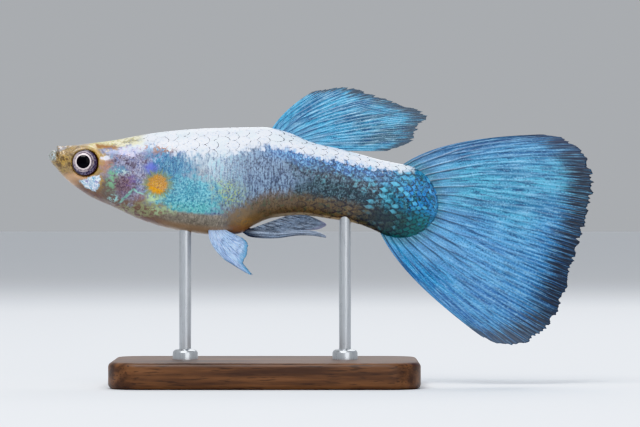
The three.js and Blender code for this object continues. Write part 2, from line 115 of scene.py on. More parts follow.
def make_piece(name, points, faces, material):
    """A smooth mesh from points in millimetres, with its material."""
    mesh = bpy.data.meshes.new(name)
    mesh.from_pydata((np.asarray(points) * MM).tolist(), [], faces)
    mesh.shade_smooth()
    mesh.materials.append(material)
    piece = bpy.data.objects.new(name, mesh)
    bpy.context.scene.collection.objects.link(piece)
    return piece


CARD = {"radii": (80, 200, 500, 1200, 3000), "around": 96}

card_material, card_tree, card_shader = make_material("studio_card", Roughness=0.9)
card_place = add(card_tree, "ShaderNodeTexCoord", out=3)
card_fibre = add(card_tree, "ShaderNodeTexNoise", card_place, None, 900.0, 3.0)
card_colour = paint(card_tree, shade(212, 214, 217), shade(217, 219, 222), card_fibre)
card_tree.links.new(card_colour, card_shader.inputs["Base Color"])

card_turn = 2 * math.pi * np.arange(CARD["around"]) / CARD["around"]
card_points = [(r * math.cos(t), r * math.sin(t), 0.0) for r in CARD["radii"] for t in card_turn]
card_faces = [tuple(range(CARD["around"]))]
for inner in range(0, len(card_points) - CARD["around"], CARD["around"]):
    outer = inner + CARD["around"]
    for k in range(CARD["around"]):
        after = (k + 1) % CARD["around"]
        card_faces.append((inner + k, outer + k, outer + after, inner + after))
card = make_piece("studio_card", card_points, card_faces, card_material)


# Light
# A broad soft box above the front, a weaker one low in front and one above behind, in an evenly pale room.
# The neutral view keeps the colours of the skin as strong as they are in the photo.
SOFT_BOXES = {
    "key": {"place": (-90, -200, 330), "size": 200, "power": 0.95},
    "front_fill": {"place": (140, -380, 150), "size": 260, "power": 0.3},
    "back_light": {"place": (60, 230, 300), "size": 240, "power": 0.6},
}
bpy.context.scene.view_settings.view_transform = "Khronos PBR Neutral"

for name, box in SOFT_BOXES.items():
    lamp_data = bpy.data.lights.new(name, "AREA")
    lamp_data.shape = "SQUARE"
    lamp_data.size = box["size"] * MM
    lamp_data.energy = box["power"]
    lamp = bpy.data.objects.new(name, lamp_data)
    lamp.location = Vector(box["place"]) * MM
    towards_fish = Vector((0, 0, AXIS_HEIGHT)) - Vector(box["place"])
    lamp.rotation_euler = towards_fish.to_track_quat("-Z", "Y").to_euler()
    bpy.context.scene.collection.objects.link(lamp)

# The wall that the camera sees is dimmer than the room's light, so that it meets the far floor in one tone.
ROOM = {"tint": (0.93, 0.96, 1.0, 1.0), "light": 0.68, "wall": 0.47}

room = bpy.data.worlds.new("room")
room.use_nodes = True
room_tree = room.node_tree
room_background = room_tree.nodes["Background"]
room_background.inputs["Color"].default_value = ROOM["tint"]
seen_wall = add(room_tree, "ShaderNodeLightPath")
room_strength = add(
    room_tree, "ShaderNodeMix", seen_wall, None, ROOM["light"], ROOM["wall"], data_type="FLOAT")
room_tree.links.new(room_strength, room_background.inputs["Strength"])
bpy.context.scene.world = room


# Skin
# One unbroken wet skin from the lips to the root of the tail fin, thin and soft over the flesh.
# It lies inside the solids by the depth of the scales, and carries the lips, mouth, nostrils and gill cover.
# Each station: x, height, back above, belly below, half width, downward tilt in degrees
STATIONS = np.array([
    (-24.95, 1.95, 0.2, 0.22, 0.35, 0),
    (-24.59, 1.8, 0.57, 0.7, 0.85, 0),
    (-24.27, 1.69, 0.96, 0.91, 1.08, 0),
    (-23.91, 1.55, 1.28, 1.23, 1.28, 0),
    (-23.18, 1.41, 1.5, 1.8, 1.6, 0),
    (-21.54, 1.23, 1.87, 2.85, 2.15, 0),
    (-19.17, 0.82, 2.57, 3.57, 2.55, 0),
    (-16.07, 0.37, 3.58, 4.49, 2.8, 0),
    (-12.25, 0.05, 4.33, 5.1, 2.8, 0),
    (-8.24, 0, 4.55, 5.28, 2.45, 0),
    (-7.24, 0, 4.57, 5.1, 2.32, 0),
    (-6.42, 0, 4.58, 4.55, 2.2, 0),
    (-5.33, 0, 4.6, 4.03, 2.05, 0),
    (-3.14, -0.02, 4.05, 3.61, 1.85, 4.5),
    (-1.87, -0.04, 3.46, 3.51, 1.75, 7.5),
    (1.05, -0.53, 3.19, 3.37, 1.45, 13),
    (4.87, -1.55, 3.19, 3.16, 1.1, 19),
    (6.83, -2.14, 3.42, 3.42, 0.92, 19.4),
])
STALK_END = {"length": 3.85, "half_width": 0.2}
SECTION_POWER = {"head_top": 2.5, "head_belly": 2.1, "tail_top": 1.9, "tail_belly": 1.85}
SKIN = {"inset": 0.07, "rings": 330, "crowding": 1.25, "end_rings": 40, "end_turn": 88, "around": 176}
GILL_EDGE = np.array([
    (-18.75, 4.9), (-18.1, 3.4), (-17.25, 2.45), (-16.55, 1.4), (-16.35, 0.35),
    (-16.7, -0.65), (-17.55, -1.55), (-18.6, -2.35), (-19.7, -3.2), (-20.5, -4.6),
])
GILL_COVER = {
    "lift": 0.12, "edge": 0.1, "fade": 2.4, "full_below": 1.5, "none_above": 2.8,
    "crease": 0.05, "crease_back": 2.9, "crease_width": 0.16,
}
MOUTH = {"apex_x": -24.32, "corner_x": -23.9, "half_width": 1.45, "bottom": 1.72}
LIPS = {
    "groove": 0.3, "groove_width": 0.09,
    "swell": 0.16, "front_share": 0.8, "swell_away": 0.26, "swell_width": 0.15,
}
NOSTRIL = {"x": -23.2, "side": 0.78, "height": 2.86, "radius": 0.17, "depth": 0.2, "rim": 0.05}
EYE = {"x": -21.5, "height": 1.26, "side": 1.55, "radius": 1.25, "bulge": 0.95}
SOCKET = {
    "margin": 0.02, "floor": 1.25, "beyond": 1.0,
    "rim": 0.1, "rim_away": 0.2, "rim_width": 0.13, "side_from": 0.9, "side_full": 1.4,
}


def smooth(value, low, high):
    """0 below low, 1 above high, and an easy slope between."""
    t = np.clip((value - low) / (high - low), 0, 1)
    return t * t * (3 - 2 * t)


def hump(value, width):
    """A round hump that is 1 where the value is 0."""
    return np.exp(-((value / width) ** 2))


def between(places, values, t):
    """A smooth value between the rows of a table, each row with its neighbours' slopes."""
    span = np.diff(places)
    rate = np.diff(values) / span
    inner = (rate[:-1] * span[1:] + rate[1:] * span[:-1]) / (span[:-1] + span[1:])
    slope = np.concatenate([rate[:1], inner, rate[-1:]])
    i = np.clip(np.searchsorted(places, t) - 1, 0, len(span) - 1)
    f = np.clip((t - places[i]) / span[i], 0, 1)
    rise = (3 - 2 * f) * f * f
    start_turn = (f - 2 * f * f + f ** 3) * span[i] * slope[i]
    end_turn = (f ** 3 - f * f) * span[i] * slope[i + 1]
    return (1 - rise) * values[i] + rise * values[i + 1] + start_turn + end_turn


station_place = np.concatenate([[0], np.cumsum(np.hypot(*np.diff(STATIONS[:, :2], axis=0).T))])
body_length = station_place[-1]
whole_length = body_length + STALK_END["length"]


def body_point(along, angle, grow=0.0):
    """Points of the body's surface and how high each stands in its section, 0 at the belly and 1 on the back.
    The angle runs from the fish's right side, 0, over the back, a quarter turn."""
    s = np.minimum(along, body_length)
    beyond = np.maximum(along - body_length, 0)
    x, height, up, down, wide, tilt = (between(station_place, STATIONS[:, k], s) for k in range(6))
    tilt = np.radians(tilt)
    length = STALK_END["length"] + grow
    close = np.sqrt(np.clip(1 - (beyond / length) ** 2, 0, 1))
    up = (up + grow) * close
    down = (down + grow) * close
    wide = wide + (STALK_END["half_width"] - wide) * smooth(beyond, 0, STALK_END["length"]) + grow
    tailward = smooth(s, 4, body_length)
    top_power = SECTION_POWER["head_top"] * (1 - tailward) + SECTION_POWER["tail_top"] * tailward
    belly_power = SECTION_POWER["head_belly"] * (1 - tailward) + SECTION_POWER["tail_belly"] * tailward
    c = np.cos(angle)
    sine = np.sin(angle)
    power = 2 / np.where(sine > 0, top_power, belly_power)
    side = np.sign(c) * np.abs(c) ** power * wide
    rise = np.sign(sine) * np.abs(sine) ** power * np.where(sine > 0, up, down)
    points = np.stack([
        x + beyond * np.cos(tilt) + rise * np.sin(tilt),
        side + 0 * x,
        AXIS_HEIGHT + height - beyond * np.sin(tilt) + rise * np.cos(tilt),
    ], axis=-1)
    return points, (rise + down) / np.maximum(up + down, 1e-6)


def body_normal(along, angle, grow=0.0):
    """Directions that point straight out of the body's surface."""
    step = 0.01
    ahead = body_point(along + step, angle, grow)[0] - body_point(along - step, angle, grow)[0]
    round_it = body_point(along, angle + step, grow)[0] - body_point(along, angle - step, grow)[0]
    out = np.cross(round_it, ahead)
    return out / np.maximum(np.linalg.norm(out, axis=-1, keepdims=True), 1e-9)


def gill_distance(points):
    """How far behind the gill cover's rear edge a point lies, less than 0 on the head."""
    heights = GILL_EDGE[::-1, 1]
    height = np.clip(points[..., 2] - AXIS_HEIGHT, heights[0], heights[-1])
    return points[..., 0] - between(heights, GILL_EDGE[::-1, 0], height)


def mouth_distance(points):
    """How far behind the mouth's line a point lies, and how much of the mouth is there, 0 or 1."""
    across = points[..., 1] / MOUTH["half_width"]
    line = MOUTH["apex_x"] + (MOUTH["corner_x"] - MOUTH["apex_x"]) * across ** 2
    above = smooth(points[..., 2] - AXIS_HEIGHT, MOUTH["bottom"] - 0.1, MOUTH["bottom"] + 0.25)
    return points[..., 0] - line, above * (1 - smooth(np.abs(across), 1.0, 1.2))


def eye_distance(points):
    """Distance from the eye's axis, seen from the side."""
    return np.hypot(points[..., 0] - EYE["x"], points[..., 2] - AXIS_HEIGHT - EYE["height"])


def relief(points):
    """How far the lips, mouth, nostrils, eye rims and gill covers stand out from the plain body."""
    behind, present = mouth_distance(points)
    front_swell = LIPS["swell"] * LIPS["front_share"]
    lift = present * LIPS["swell"] * hump(behind - LIPS["swell_away"], LIPS["swell_width"])
    lift += present * front_swell * hump(behind + LIPS["swell_away"], LIPS["swell_width"])
    lift -= present * LIPS["groove"] * hump(behind, LIPS["groove_width"])
    from_nostril = np.sqrt(
        (points[..., 0] - NOSTRIL["x"]) ** 2
        + (np.abs(points[..., 1]) - NOSTRIL["side"]) ** 2
        + (points[..., 2] - AXIS_HEIGHT - NOSTRIL["height"]) ** 2
    )
    lift += NOSTRIL["rim"] * hump(from_nostril - 1.4 * NOSTRIL["radius"], 0.5 * NOSTRIL["radius"])
    lift -= NOSTRIL["depth"] * hump(from_nostril, 0.7 * NOSTRIL["radius"])
    from_rim = eye_distance(points) - EYE["radius"]
    beside = smooth(np.abs(points[..., 1]), SOCKET["side_from"], SOCKET["side_full"])
    lift += beside * SOCKET["rim"] * hump(from_rim - SOCKET["rim_away"], SOCKET["rim_width"])
    behind_gill = gill_distance(points)
    cover = smooth(behind_gill, -GILL_COVER["fade"], -0.2) * (1 - smooth(behind_gill, 0, GILL_COVER["edge"]))
    height = points[..., 2] - AXIS_HEIGHT
    below_nape = 1 - smooth(height, GILL_COVER["full_below"], GILL_COVER["none_above"])
    lift += GILL_COVER["lift"] * cover * beside * below_nape
    crease = hump(behind_gill + GILL_COVER["crease_back"], GILL_COVER["crease_width"])
    lift -= GILL_COVER["crease"] * crease * beside
    return lift


def skin_point(along, angle):
    """Points of the finished skin, their rise in the section and their outward directions."""
    points, rise = body_point(along, angle, -SKIN["inset"])
    out = body_normal(along, angle, -SKIN["inset"])
    return points + out * relief(points)[..., None], rise, out


def ring_faces(rings, around):
    """Quads between rings of points, with a face over each end."""
    row = np.arange(rings - 1)[:, None] * around
    k = np.arange(around)[None, :]
    after = (k + 1) % around
    quads = np.stack([row + k, row + after, row + around + after, row + around + k], axis=-1).reshape(-1, 4)
    first = list(range(around))[::-1]
    last = list(range((rings - 1) * around, rings * around))
    return quads.tolist() + [first, last]


def give_attribute(piece, name, values):
    """Stores three numbers at each point of a mesh, for its material to read."""
    attribute = piece.data.attributes.new(name, "FLOAT_VECTOR", "POINT")
    attribute.data.foreach_set("vector", np.asarray(values, dtype=np.float32).ravel())


def give_map(piece, name, places):
    """Stores a flat map with one place for each point of a mesh."""
    layer = piece.data.uv_layers.new(name=name)
    corner_points = np.empty(len(piece.data.loops), dtype=np.int32)
    piece.data.loops.foreach_get("vertex_index", corner_points)
    layer.data.foreach_set("uv", np.asarray(places, dtype=np.float32)[corner_points].ravel())


# Markings
# Pigment and crystals in the skin: a white back, a blue-green flank, an orange spot and an iridescent cheek.
# Skin and scales take them from one group, by each point's x, height and rise in its section.
def number(tree, operation, a, b=None, c=None):
    """A Math node."""
    return add(tree, "ShaderNodeMath", a, b, c, operation=operation)


def step_up(tree, value, low, high):
    """0 below low, 1 above high, and an easy slope between."""
    return add(tree, "ShaderNodeMapRange", value, low, high, interpolation_type="SMOOTHSTEP")


def stored(tree, name):
    """The three numbers that a mesh keeps at each point under a name."""
    kept = add(tree, "ShaderNodeAttribute", attribute_name=name, out=1)
    return add(tree, "ShaderNodeSeparateXYZ", kept).node.outputs


def grain(tree, place, stretch, size, detail=2.0, warp=0.0):
    """Noise with grains of about size millimetres, drawn out by stretch and curled by warp."""
    fineness = tuple(1 / (size * k) for k in stretch)
    scaled = add(tree, "ShaderNodeVectorMath", place, fineness, operation="MULTIPLY")
    return add(tree, "ShaderNodeTexNoise", scaled, None, 1.0, detail, 0.6, None, None, None, warp)


def new_group(name, outputs, inputs=()):
    """An empty shader node group with named sockets."""
    group = bpy.data.node_groups.new(name, "ShaderNodeTree")
    for socket, kind in inputs:
        group.interface.new_socket(socket, in_out="INPUT", socket_type=kind)
    for socket, kind in outputs:
        group.interface.new_socket(socket, in_out="OUTPUT", socket_type=kind)
    return group, group.nodes.new("NodeGroupInput"), group.nodes.new("NodeGroupOutput")


COLOUR = "NodeSocketColor"
FLOAT = "NodeSocketFloat"
marks, _, marks_out = new_group(
    "guppy_markings",
    [("Colour", COLOUR), ("Shine", FLOAT), ("Outline", FLOAT), ("Broad Outline", FLOAT), ("Glints", FLOAT)],
)
mark_x, mark_height, mark_rise = stored(marks, "place")
solid_metres = add(marks, "ShaderNodeTexCoord", out=3)
solid_place = add(marks, "ShaderNodeVectorMath", solid_metres, (1000.0,) * 3, operation="MULTIPLY")
dust = grain(marks, solid_place, (1, 1, 1), 0.075, 1.0)
speckle = grain(marks, solid_place, (1, 1, 1.3), 0.16)
blotch = grain(marks, solid_place, (1, 1, 1), 0.45)
cloud = grain(marks, solid_place, (1, 1, 1), 1.5)
upright = grain(marks, solid_place, (0.55, 1, 3.2), 0.26, 3.0)
marble = grain(marks, solid_place, (1, 1, 1), 0.42, 4.0, 0.9)


def fade(value, low, high):
    """A mask for the markings: 0 at low and beyond it, 1 at high and beyond it."""
    return step_up(marks, value, low, high)


def plus(a, b):
    """The sum of two values of the markings."""
    return number(marks, "ADD", a, b)


def minus(a, b):
    """One value of the markings less another."""
    return number(marks, "SUBTRACT", a, b)


fleck = fade(speckle, 0.5, 0.6)
pit = fade(speckle, 0.47, 0.37)
sparkle = fade(dust, 0.52, 0.66)
soot = fade(dust, 0.48, 0.34)
streak = fade(upright, 0.48, 0.6)


def multiply(*masks):
    """The product of some masks and numbers."""
    product = masks[0]
    for mask in masks[1:]:
        product = number(marks, "MULTIPLY", product, mask)
    return product


def either(*masks):
    """The stronger of some masks at each place."""
    strongest = masks[0]
    for mask in masks[1:]:
        strongest = number(marks, "MAXIMUM", strongest, mask)
    return strongest


def shaken(value, texture, amount):
    """A value made ragged by a texture, by about amount either way."""
    return plus(value, multiply(minus(texture, 0.5), amount * 4))


def from_middle(x, height, half_length, half_height):
    """Distance from a place, 1 on an oval of the half sizes around it."""
    a = multiply(minus(mark_x, x), 1 / half_length)
    b = multiply(minus(mark_height, height), 1 / half_height)
    return number(marks, "SQRT", plus(multiply(a, a), multiply(b, b)))


def spot(x, height, half_length, half_height, soft=0.35, ragged=0.25):
    """A mask for a ragged oval spot, given by its middle and its half sizes."""
    away = shaken(from_middle(x, height, half_length, half_height), blotch, ragged)
    return fade(away, 1 + soft, 1 - soft)


def starburst(x, height, half_length, half_height, spokes, length):
    """A mask for a spot whose edge runs out in spokes of uneven length."""
    dx = minus(mark_x, x)
    dz = minus(mark_height, height)
    turn = multiply(number(marks, "ARCTAN2", dz, dx), spokes)
    spoke_place = add(marks, "ShaderNodeCombineXYZ", turn, 0.0, 0.0)
    spoke = add(marks, "ShaderNodeTexNoise", spoke_place, None, 1.0, 2.0, 0.7)
    return fade(shaken(from_middle(x, height, half_length, half_height), spoke, length), 1.15, 0.75)


def between_x(start, end, soft):
    """A mask that is 1 between two places along the fish."""
    behind_start = fade(mark_x, start - soft, start + soft)
    return multiply(behind_start, fade(mark_x, end + soft, end - soft))


def line_distances(start, end):
    """How far a place lies along a line from its start, and how far to its left, with the line's length."""
    run = np.array(end) - np.array(start)
    length = float(np.hypot(*run))
    ahead, up = (float(k) for k in run / length)
    dx = minus(mark_x, start[0])
    dz = minus(mark_height, start[1])
    forward = plus(multiply(dx, ahead), multiply(dz, up))
    leftward = minus(multiply(dz, ahead), multiply(dx, up))
    return forward, leftward, length


def stroke(start, end, width):
    """A mask for a thin uneven line between two places."""
    forward, leftward, length = line_distances(start, end)
    near = fade(number(marks, "ABSOLUTE", shaken(leftward, blotch, 0.12)), width, width * 0.3)
    past_start = fade(forward, -width, width)
    return multiply(near, past_start, fade(forward, length + width, length - width))


def wedge(*corners):
    """A mask for a flat-sided patch, given by its corners in turn, anticlockwise from the fish's left."""
    inside = 1.0
    for start, end in zip(corners, corners[1:] + corners[:1]):
        leftward = line_distances(start, end)[1]
        inside = multiply(fade(shaken(leftward, marble, 0.16), -0.06, 0.12), inside)
    return inside


coats = []


def lay(colour, *masks):
    """Lays a colour over the coats so far, through the product of some masks and strengths."""
    coats.append((colour, multiply(*masks)))


# Flank behind the shoulder: blue-grey with upright light streaks, darker and duller towards the tail
lay((160, 184, 204), streak, 0.8)
lay((54, 68, 96), pit, 0.75)
lay((194, 208, 218), spot(-11.0, 1.6, 2.8, 2.0, 0.6), 0.85, fade(upright, 0.34, 0.56))
lay((140, 142, 152), spot(-11.1, 0.1, 1.0, 0.8, 0.5), 0.5)
lay((146, 194, 208), between_x(-10.3, -6.6, 1.0), fade(mark_rise, 0.18, 0.34), streak, 0.8)
lay((226, 236, 240), between_x(-11.0, -6.0, 1.5), fade(mark_rise, 0.3, 0.5), sparkle, 0.5)
middle = multiply(fade(shaken(mark_x, upright, 1.2), -10.0, -4.8), fade(mark_x, 8.1, 4.9))
lay((92, 110, 140), middle, 0.75)
lay((148, 176, 202), middle, either(multiply(fleck, 0.5), multiply(streak, 0.6)))
lay((40, 48, 70), middle, either(multiply(pit, 0.7), multiply(fade(upright, 0.45, 0.36), 0.7)))
rear = fade(shaken(mark_x, cloud, 1.2), -3.4, -0.4)
lay((52, 66, 78), rear, 0.88)
lay((46, 72, 76), rear, fade(mark_rise, 0.58, 0.46), 0.7)
lay((116, 148, 164), rear, fleck, 0.5)
lay((22, 28, 36), rear, pit, 0.8)
lay((104, 168, 184), rear, fade(mark_rise, 0.4, 0.55), fade(marble, 0.56, 0.62), 0.6)
low_flank = fade(shaken(shaken(mark_rise, blotch, 0.03), upright, 0.05), 0.36, 0.2)
low_flank = multiply(low_flank, fade(shaken(mark_x, cloud, 0.8), -10.0, -5.6))
low_flank = multiply(low_flank, fade(mark_x, 6.9, 4.1))
lay((106, 88, 64), low_flank, 0.92)
lay((134, 112, 78), low_flank, fade(upright, 0.5, 0.64), 0.6)
lay((66, 56, 46), low_flank, pit, 0.6)
lay((84, 96, 76), low_flank, fade(blotch, 0.54, 0.64), 0.6)
lay((184, 162, 130), fade(mark_rise, 0.05, 0.02), between_x(-4.5, 5.0, 1.0), 0.85)
lay((128, 108, 82), spot(-7.25, -3.9, 1.8, 1.1, 0.5, 0.5), 0.9)
lay((154, 120, 78), spot(-7.0, -4.1, 1.3, 0.6, 0.5, 0.5),
    either(sparkle, fade(blotch, 0.5, 0.6)), 0.8)
lay((144, 104, 76), spot(-7.4, -4.8, 1.4, 0.4, 0.5, 0.4), 0.7)
lay((170, 190, 78), spot(-9.1, -1.5, 1.9, 1.1, 0.6), either(multiply(fleck, 0.75), multiply(sparkle, 0.5)))

# Shoulder: teal-blue streaks above, turquoise with a crisp lower edge below
lay((70, 126, 166), spot(-14.2, 0.9, 2.3, 1.9, 0.5, 0.5), 0.95)
lay((128, 180, 202), spot(-13.9, 0.9, 2.2, 1.9, 0.5, 0.4), streak, 0.75)
lay((38, 78, 126), spot(-14.0, 0.6, 2.2, 2.1, 0.5), pit, 0.85)
lay((180, 196, 226), spot(-15.0, 1.7, 1.5, 0.9, 0.6), fade(marble, 0.54, 0.6), 0.8)
turquoise = multiply(spot(-12.3, -1.9, 2.75, 1.9, 0.4, 0.4), fade(mark_rise, 0.165, 0.195))
lay((78, 158, 182), turquoise)
lay((92, 184, 184), turquoise, fade(mark_height, -1.9, -2.9), 0.9)
lay((142, 206, 216), turquoise, fleck, 0.75)
lay((36, 104, 144), turquoise, pit, 0.85)
lay((176, 232, 232), turquoise, sparkle, 0.35)

# Belly and throat
belly = multiply(fade(shaken(mark_rise, blotch, 0.008), 0.205, 0.17), between_x(-17.5, -8.8, 0.7))
lay((136, 130, 118), belly)
lay((178, 170, 156), belly, streak, 0.6)
lay((98, 90, 84), belly, pit, 0.6)
lay((160, 134, 108), belly, fade(mark_rise, 0.1, 0.05), 0.8)

# Tail root: teal scales with azure ones and bright cyan ones with painted glints, green and dark below
tail_root = fade(shaken(mark_x, cloud, 1.0), 4.6, 6.6)
lay((38, 112, 134), tail_root)
lay((44, 134, 206), tail_root, spot(8.9, -1.5, 1.9, 2.1, 0.6, 0.4), fade(blotch, 0.42, 0.54))
# Painted glints: bright cyan light on the scales in the middle of the tail root
glints = multiply(spot(7.0, -1.2, 2.6, 1.9, 0.6, 0.5), fade(marble, 0.5, 0.6))
lay((96, 184, 214), glints, 0.7)
lay((14, 44, 58), tail_root, pit, 0.85)
lay((30, 96, 92), tail_root, fade(shaken(mark_height, cloud, 0.5), -2.7, -4.0), 0.8)
lay((52, 126, 186), fade(shaken(mark_x, marble, 1.6), 9.0, 10.4), 0.65)
lay((54, 62, 60), spot(5.4, -4.0, 2.3, 1.4, 0.5, 0.4), 0.85)
lay((28, 34, 36), spot(5.4, -4.0, 2.3, 1.4, 0.5), pit, 0.8)

# Blue scales under the white back, then the white back itself
under_white = fade(shaken(mark_rise, blotch, 0.05), 0.6, 0.76)
under_white = multiply(under_white, fade(mark_x, -6.5, -2.5))
under_white = multiply(under_white, fade(shaken(mark_x, blotch, 0.6), 8.0, 5.0))
lay((68, 118, 176), under_white, 0.85)
lay((130, 184, 222), under_white, fleck, 0.8)
lay((48, 70, 122), under_white, pit, 0.8)
white_edge = plus(multiply(fade(mark_x, -3.5, 1.5), 0.04), multiply(fade(mark_x, 1.5, 8.0), 0.05))
white_edge = plus(white_edge, multiply(fade(mark_x, -13.2, -15.2), 0.12))
white_edge = minus(white_edge, multiply(fade(mark_x, -4.5, -9.0), 0.04))
ragged_rise = shaken(shaken(mark_rise, blotch, 0.05), upright, 0.03)
white = fade(minus(ragged_rise, white_edge), 0.755, 0.845)
below_back = minus(1.0, mark_rise)
white_end = plus(shaken(mark_x, blotch, 0.5), multiply(below_back, 9.0))
white = multiply(white, fade(mark_x, -17.6, -15.4), fade(white_end, 9.2, 7.6))
lay((240, 243, 250), white)
lay((188, 208, 236), white, pit, 0.4)
lay((214, 226, 232), white, fade(cloud, 0.5, 0.62), 0.5)

# Nape and the patches under the shoulder
lay((206, 218, 226), either(spot(-17.75, 2.75, 0.5, 0.55, 0.25), spot(-16.6, 2.8, 0.55, 0.6, 0.25)), 0.95)
lay((112, 122, 160), spot(-15.2, 2.1, 2.2, 0.6, 0.6, 0.5), fade(marble, 0.44, 0.54), 0.7)
lay((124, 82, 54), spot(-14.5, 2.55, 1.2, 0.42, 0.6, 0.5), fade(marble, 0.44, 0.54), 0.9)
lay((140, 98, 60), spot(-16.2, 2.6, 0.6, 0.3, 0.6, 0.5), fade(marble, 0.46, 0.56), 0.8)
lay((186, 216, 168), spot(-15.4, -1.95, 0.8, 0.42, 0.5, 0.5), fade(marble, 0.4, 0.5), 0.9)
lay((142, 98, 80), spot(-16.7, -1.9, 0.75, 0.5, 0.4), 0.9)
lay((160, 170, 126), spot(-16.3, -2.85, 2.1, 0.5, 0.5, 0.5), fade(marble, 0.42, 0.54))
lay((150, 106, 82), spot(-14.9, -2.9, 0.8, 0.5, 0.5), fade(blotch, 0.4, 0.56), 0.8)

# Head: olive gold, tan under the eye, rose-brown on the throat, and along the crown a pale yellow tint with a
# painted highlight on its top edge
head = fade(shaken(mark_x, blotch, 0.2), -18.9, -19.8)
lay((160, 134, 88), head)
lay((182, 148, 74), head, fade(cloud, 0.44, 0.58), 0.75)
lay((104, 80, 48), fade(mark_x, -21.2, -22.2), fade(blotch, 0.48, 0.38), 0.85)
lay((70, 58, 48), fade(mark_x, -21.4, -22.2), either(soot, pit), 0.6)
lay((198, 190, 176), head, fade(mark_rise, 0.55, 0.75), sparkle, 0.35)
lay((186, 144, 108), spot(-22.2, -0.3, 1.6, 0.75, 0.5), 0.85)
lay((210, 172, 134), spot(-22.5, 0.0, 0.8, 0.3, 0.5), 0.5)
throat = fade(shaken(mark_rise, cloud, 0.03), 0.3, 0.12)
throat = multiply(throat, fade(mark_x, -13.5, -17.0))
throat = multiply(throat, fade(shaken(mark_x, cloud, 0.6), -23.0, -21.3))
lay((114, 84, 66), throat)
lay((98, 64, 60), throat, fade(mark_rise, 0.16, 0.04), 0.9)
lay((140, 112, 78), throat, fade(marble, 0.5, 0.6), 0.5)
lay((150, 158, 116), spot(-16.2, -2.95, 2.5, 0.6, 0.6, 0.5), fade(marble, 0.43, 0.54), 0.75)
lay((172, 198, 160), spot(-14.3, -3.05, 1.2, 0.35, 0.6, 0.5), fade(marble, 0.46, 0.56), 0.7)
# Top of the head: a yellow tint, a painted pale highlight along the top edge where the light falls on it, and
# dark specks
crown_tint_and_highlight = fade(shaken(mark_rise, blotch, 0.03), 0.86, 0.93)
crown_tint_and_highlight = multiply(crown_tint_and_highlight, fade(mark_x, -15.6, -17.4))
lay((184, 176, 116), crown_tint_and_highlight, fade(mark_x, -21.6, -20.6))
lay((222, 220, 200), crown_tint_and_highlight, fade(mark_x, -21.0, -18.0), fade(blotch, 0.42, 0.54), 0.85)
lay((150, 138, 84), crown_tint_and_highlight, fade(mark_x, -21.6, -20.6), pit, 0.6)
brow = stroke((-20.7, 2.85), (-18.5, 2.62), 0.3)
lay((146, 100, 48), brow, fade(blotch, 0.34, 0.48), 0.95)
upper_lip = either(stroke((-24.1, 2.45), (-22.9, 2.98), 0.34), stroke((-22.9, 3.05), (-21.0, 3.2), 0.3))
lay((150, 148, 152), upper_lip, fade(marble, 0.38, 0.5), 0.9)

# Gill cover: lilac and violet marbling, a mint patch, a dark magenta one and a thin cyan line
gill = spot(-17.6, 0.35, 2.1, 2.3, 0.3, 0.35)
lay((124, 122, 148), gill)
lay((84, 100, 150), gill, fade(marble, 0.5, 0.6), 0.75)
lay((100, 68, 88), gill, fade(marble, 0.46, 0.37), 0.7)
lay((190, 192, 212), gill, either(sparkle, fleck), 0.6)
lay((176, 136, 120), gill, fade(cloud, 0.5, 0.6), soot, 0.6)
lay((62, 58, 72), gill, fade(marble, 0.43, 0.37), 0.6)
temple = spot(-19.5, 1.0, 0.55, 0.65, 0.6, 0.5)
lay((176, 132, 110), temple, 0.85)
lay((128, 96, 92), temple, either(soot, pit), 0.5)
lay((96, 110, 150), spot(-19.35, 2.25, 0.8, 0.4, 0.5, 0.5), fade(marble, 0.36, 0.52), 0.8)
lay((228, 232, 244), spot(-19.6, 1.7, 0.42, 0.22, 0.5, 0.6), 0.9)
lay((98, 84, 76), spot(-19.3, -1.2, 0.9, 1.2, 0.5, 0.4), 0.9)
lay((148, 136, 122), spot(-19.3, -1.2, 0.9, 1.2, 0.5), sparkle, 0.4)
lay((92, 152, 176), spot(-18.6, 0.6, 0.8, 0.4, 0.6, 0.6), fade(marble, 0.42, 0.54), 0.8)
lay((190, 218, 218), spot(-18.1, 0.35, 0.7, 0.4, 0.6, 0.6), fleck, 0.85)
lay((124, 178, 138), spot(-18.95, -0.4, 0.5, 0.95, 0.6, 0.6), fade(marble, 0.44, 0.54), 0.9)
purple = spot(-17.9, -0.75, 0.85, 0.95, 0.5, 0.4)
lay((92, 64, 76), purple, 0.85)
lay((62, 44, 60), purple, pit, 0.7)
lay((104, 80, 150), spot(-17.35, -0.5, 0.4, 0.6, 0.6, 0.5), fade(marble, 0.46, 0.56), 0.6)
lay((176, 150, 156), purple, either(sparkle, multiply(fleck, 0.6)), 0.5)
lay((160, 210, 210), spot(-18.9, -1.95, 0.5, 0.35, 0.5, 0.5), fade(marble, 0.46, 0.54), 0.85)
cheek = wedge((-22.1, -0.35), (-21.5, -0.95), (-20.6, -1.38), (-20.2, -0.8), (-20.1, 0.25))
lay((186, 204, 220), cheek)
lay((88, 164, 200), cheek, fade(marble, 0.5, 0.56), 0.9)
lay((112, 110, 176), cheek, fade(marble, 0.46, 0.4), 0.85)
lay((240, 246, 252), cheek, either(multiply(sparkle, 0.7), fleck))
cyan_line = either(
    stroke((-18.4, -2.35), (-17.15, -1.12), 0.15), stroke((-17.15, -1.12), (-16.2, -1.6), 0.13))
lay((150, 206, 194), cyan_line, fade(marble, 0.3, 0.42), 0.9)

# Orange spot on the shoulder, its edge running out in spokes through a yellow-green ring
lay((104, 116, 206), spot(-15.45, 0.75, 0.55, 0.5, 0.5), 0.8)
lay((140, 148, 80), starburst(-14.85, -0.65, 1.35, 1.2, 5.0, 0.5), 0.75)
orange = starburst(-14.9, -0.68, 0.9, 0.88, 4.0, 0.3)
lay((216, 150, 14), orange)
lay((238, 186, 46), spot(-15.1, -0.7, 0.45, 0.6, 0.5, 0.4), fleck, 0.75)
lay((172, 104, 20), spot(-14.7, -1.0, 0.5, 0.45, 0.5, 0.4), pit, 0.8)

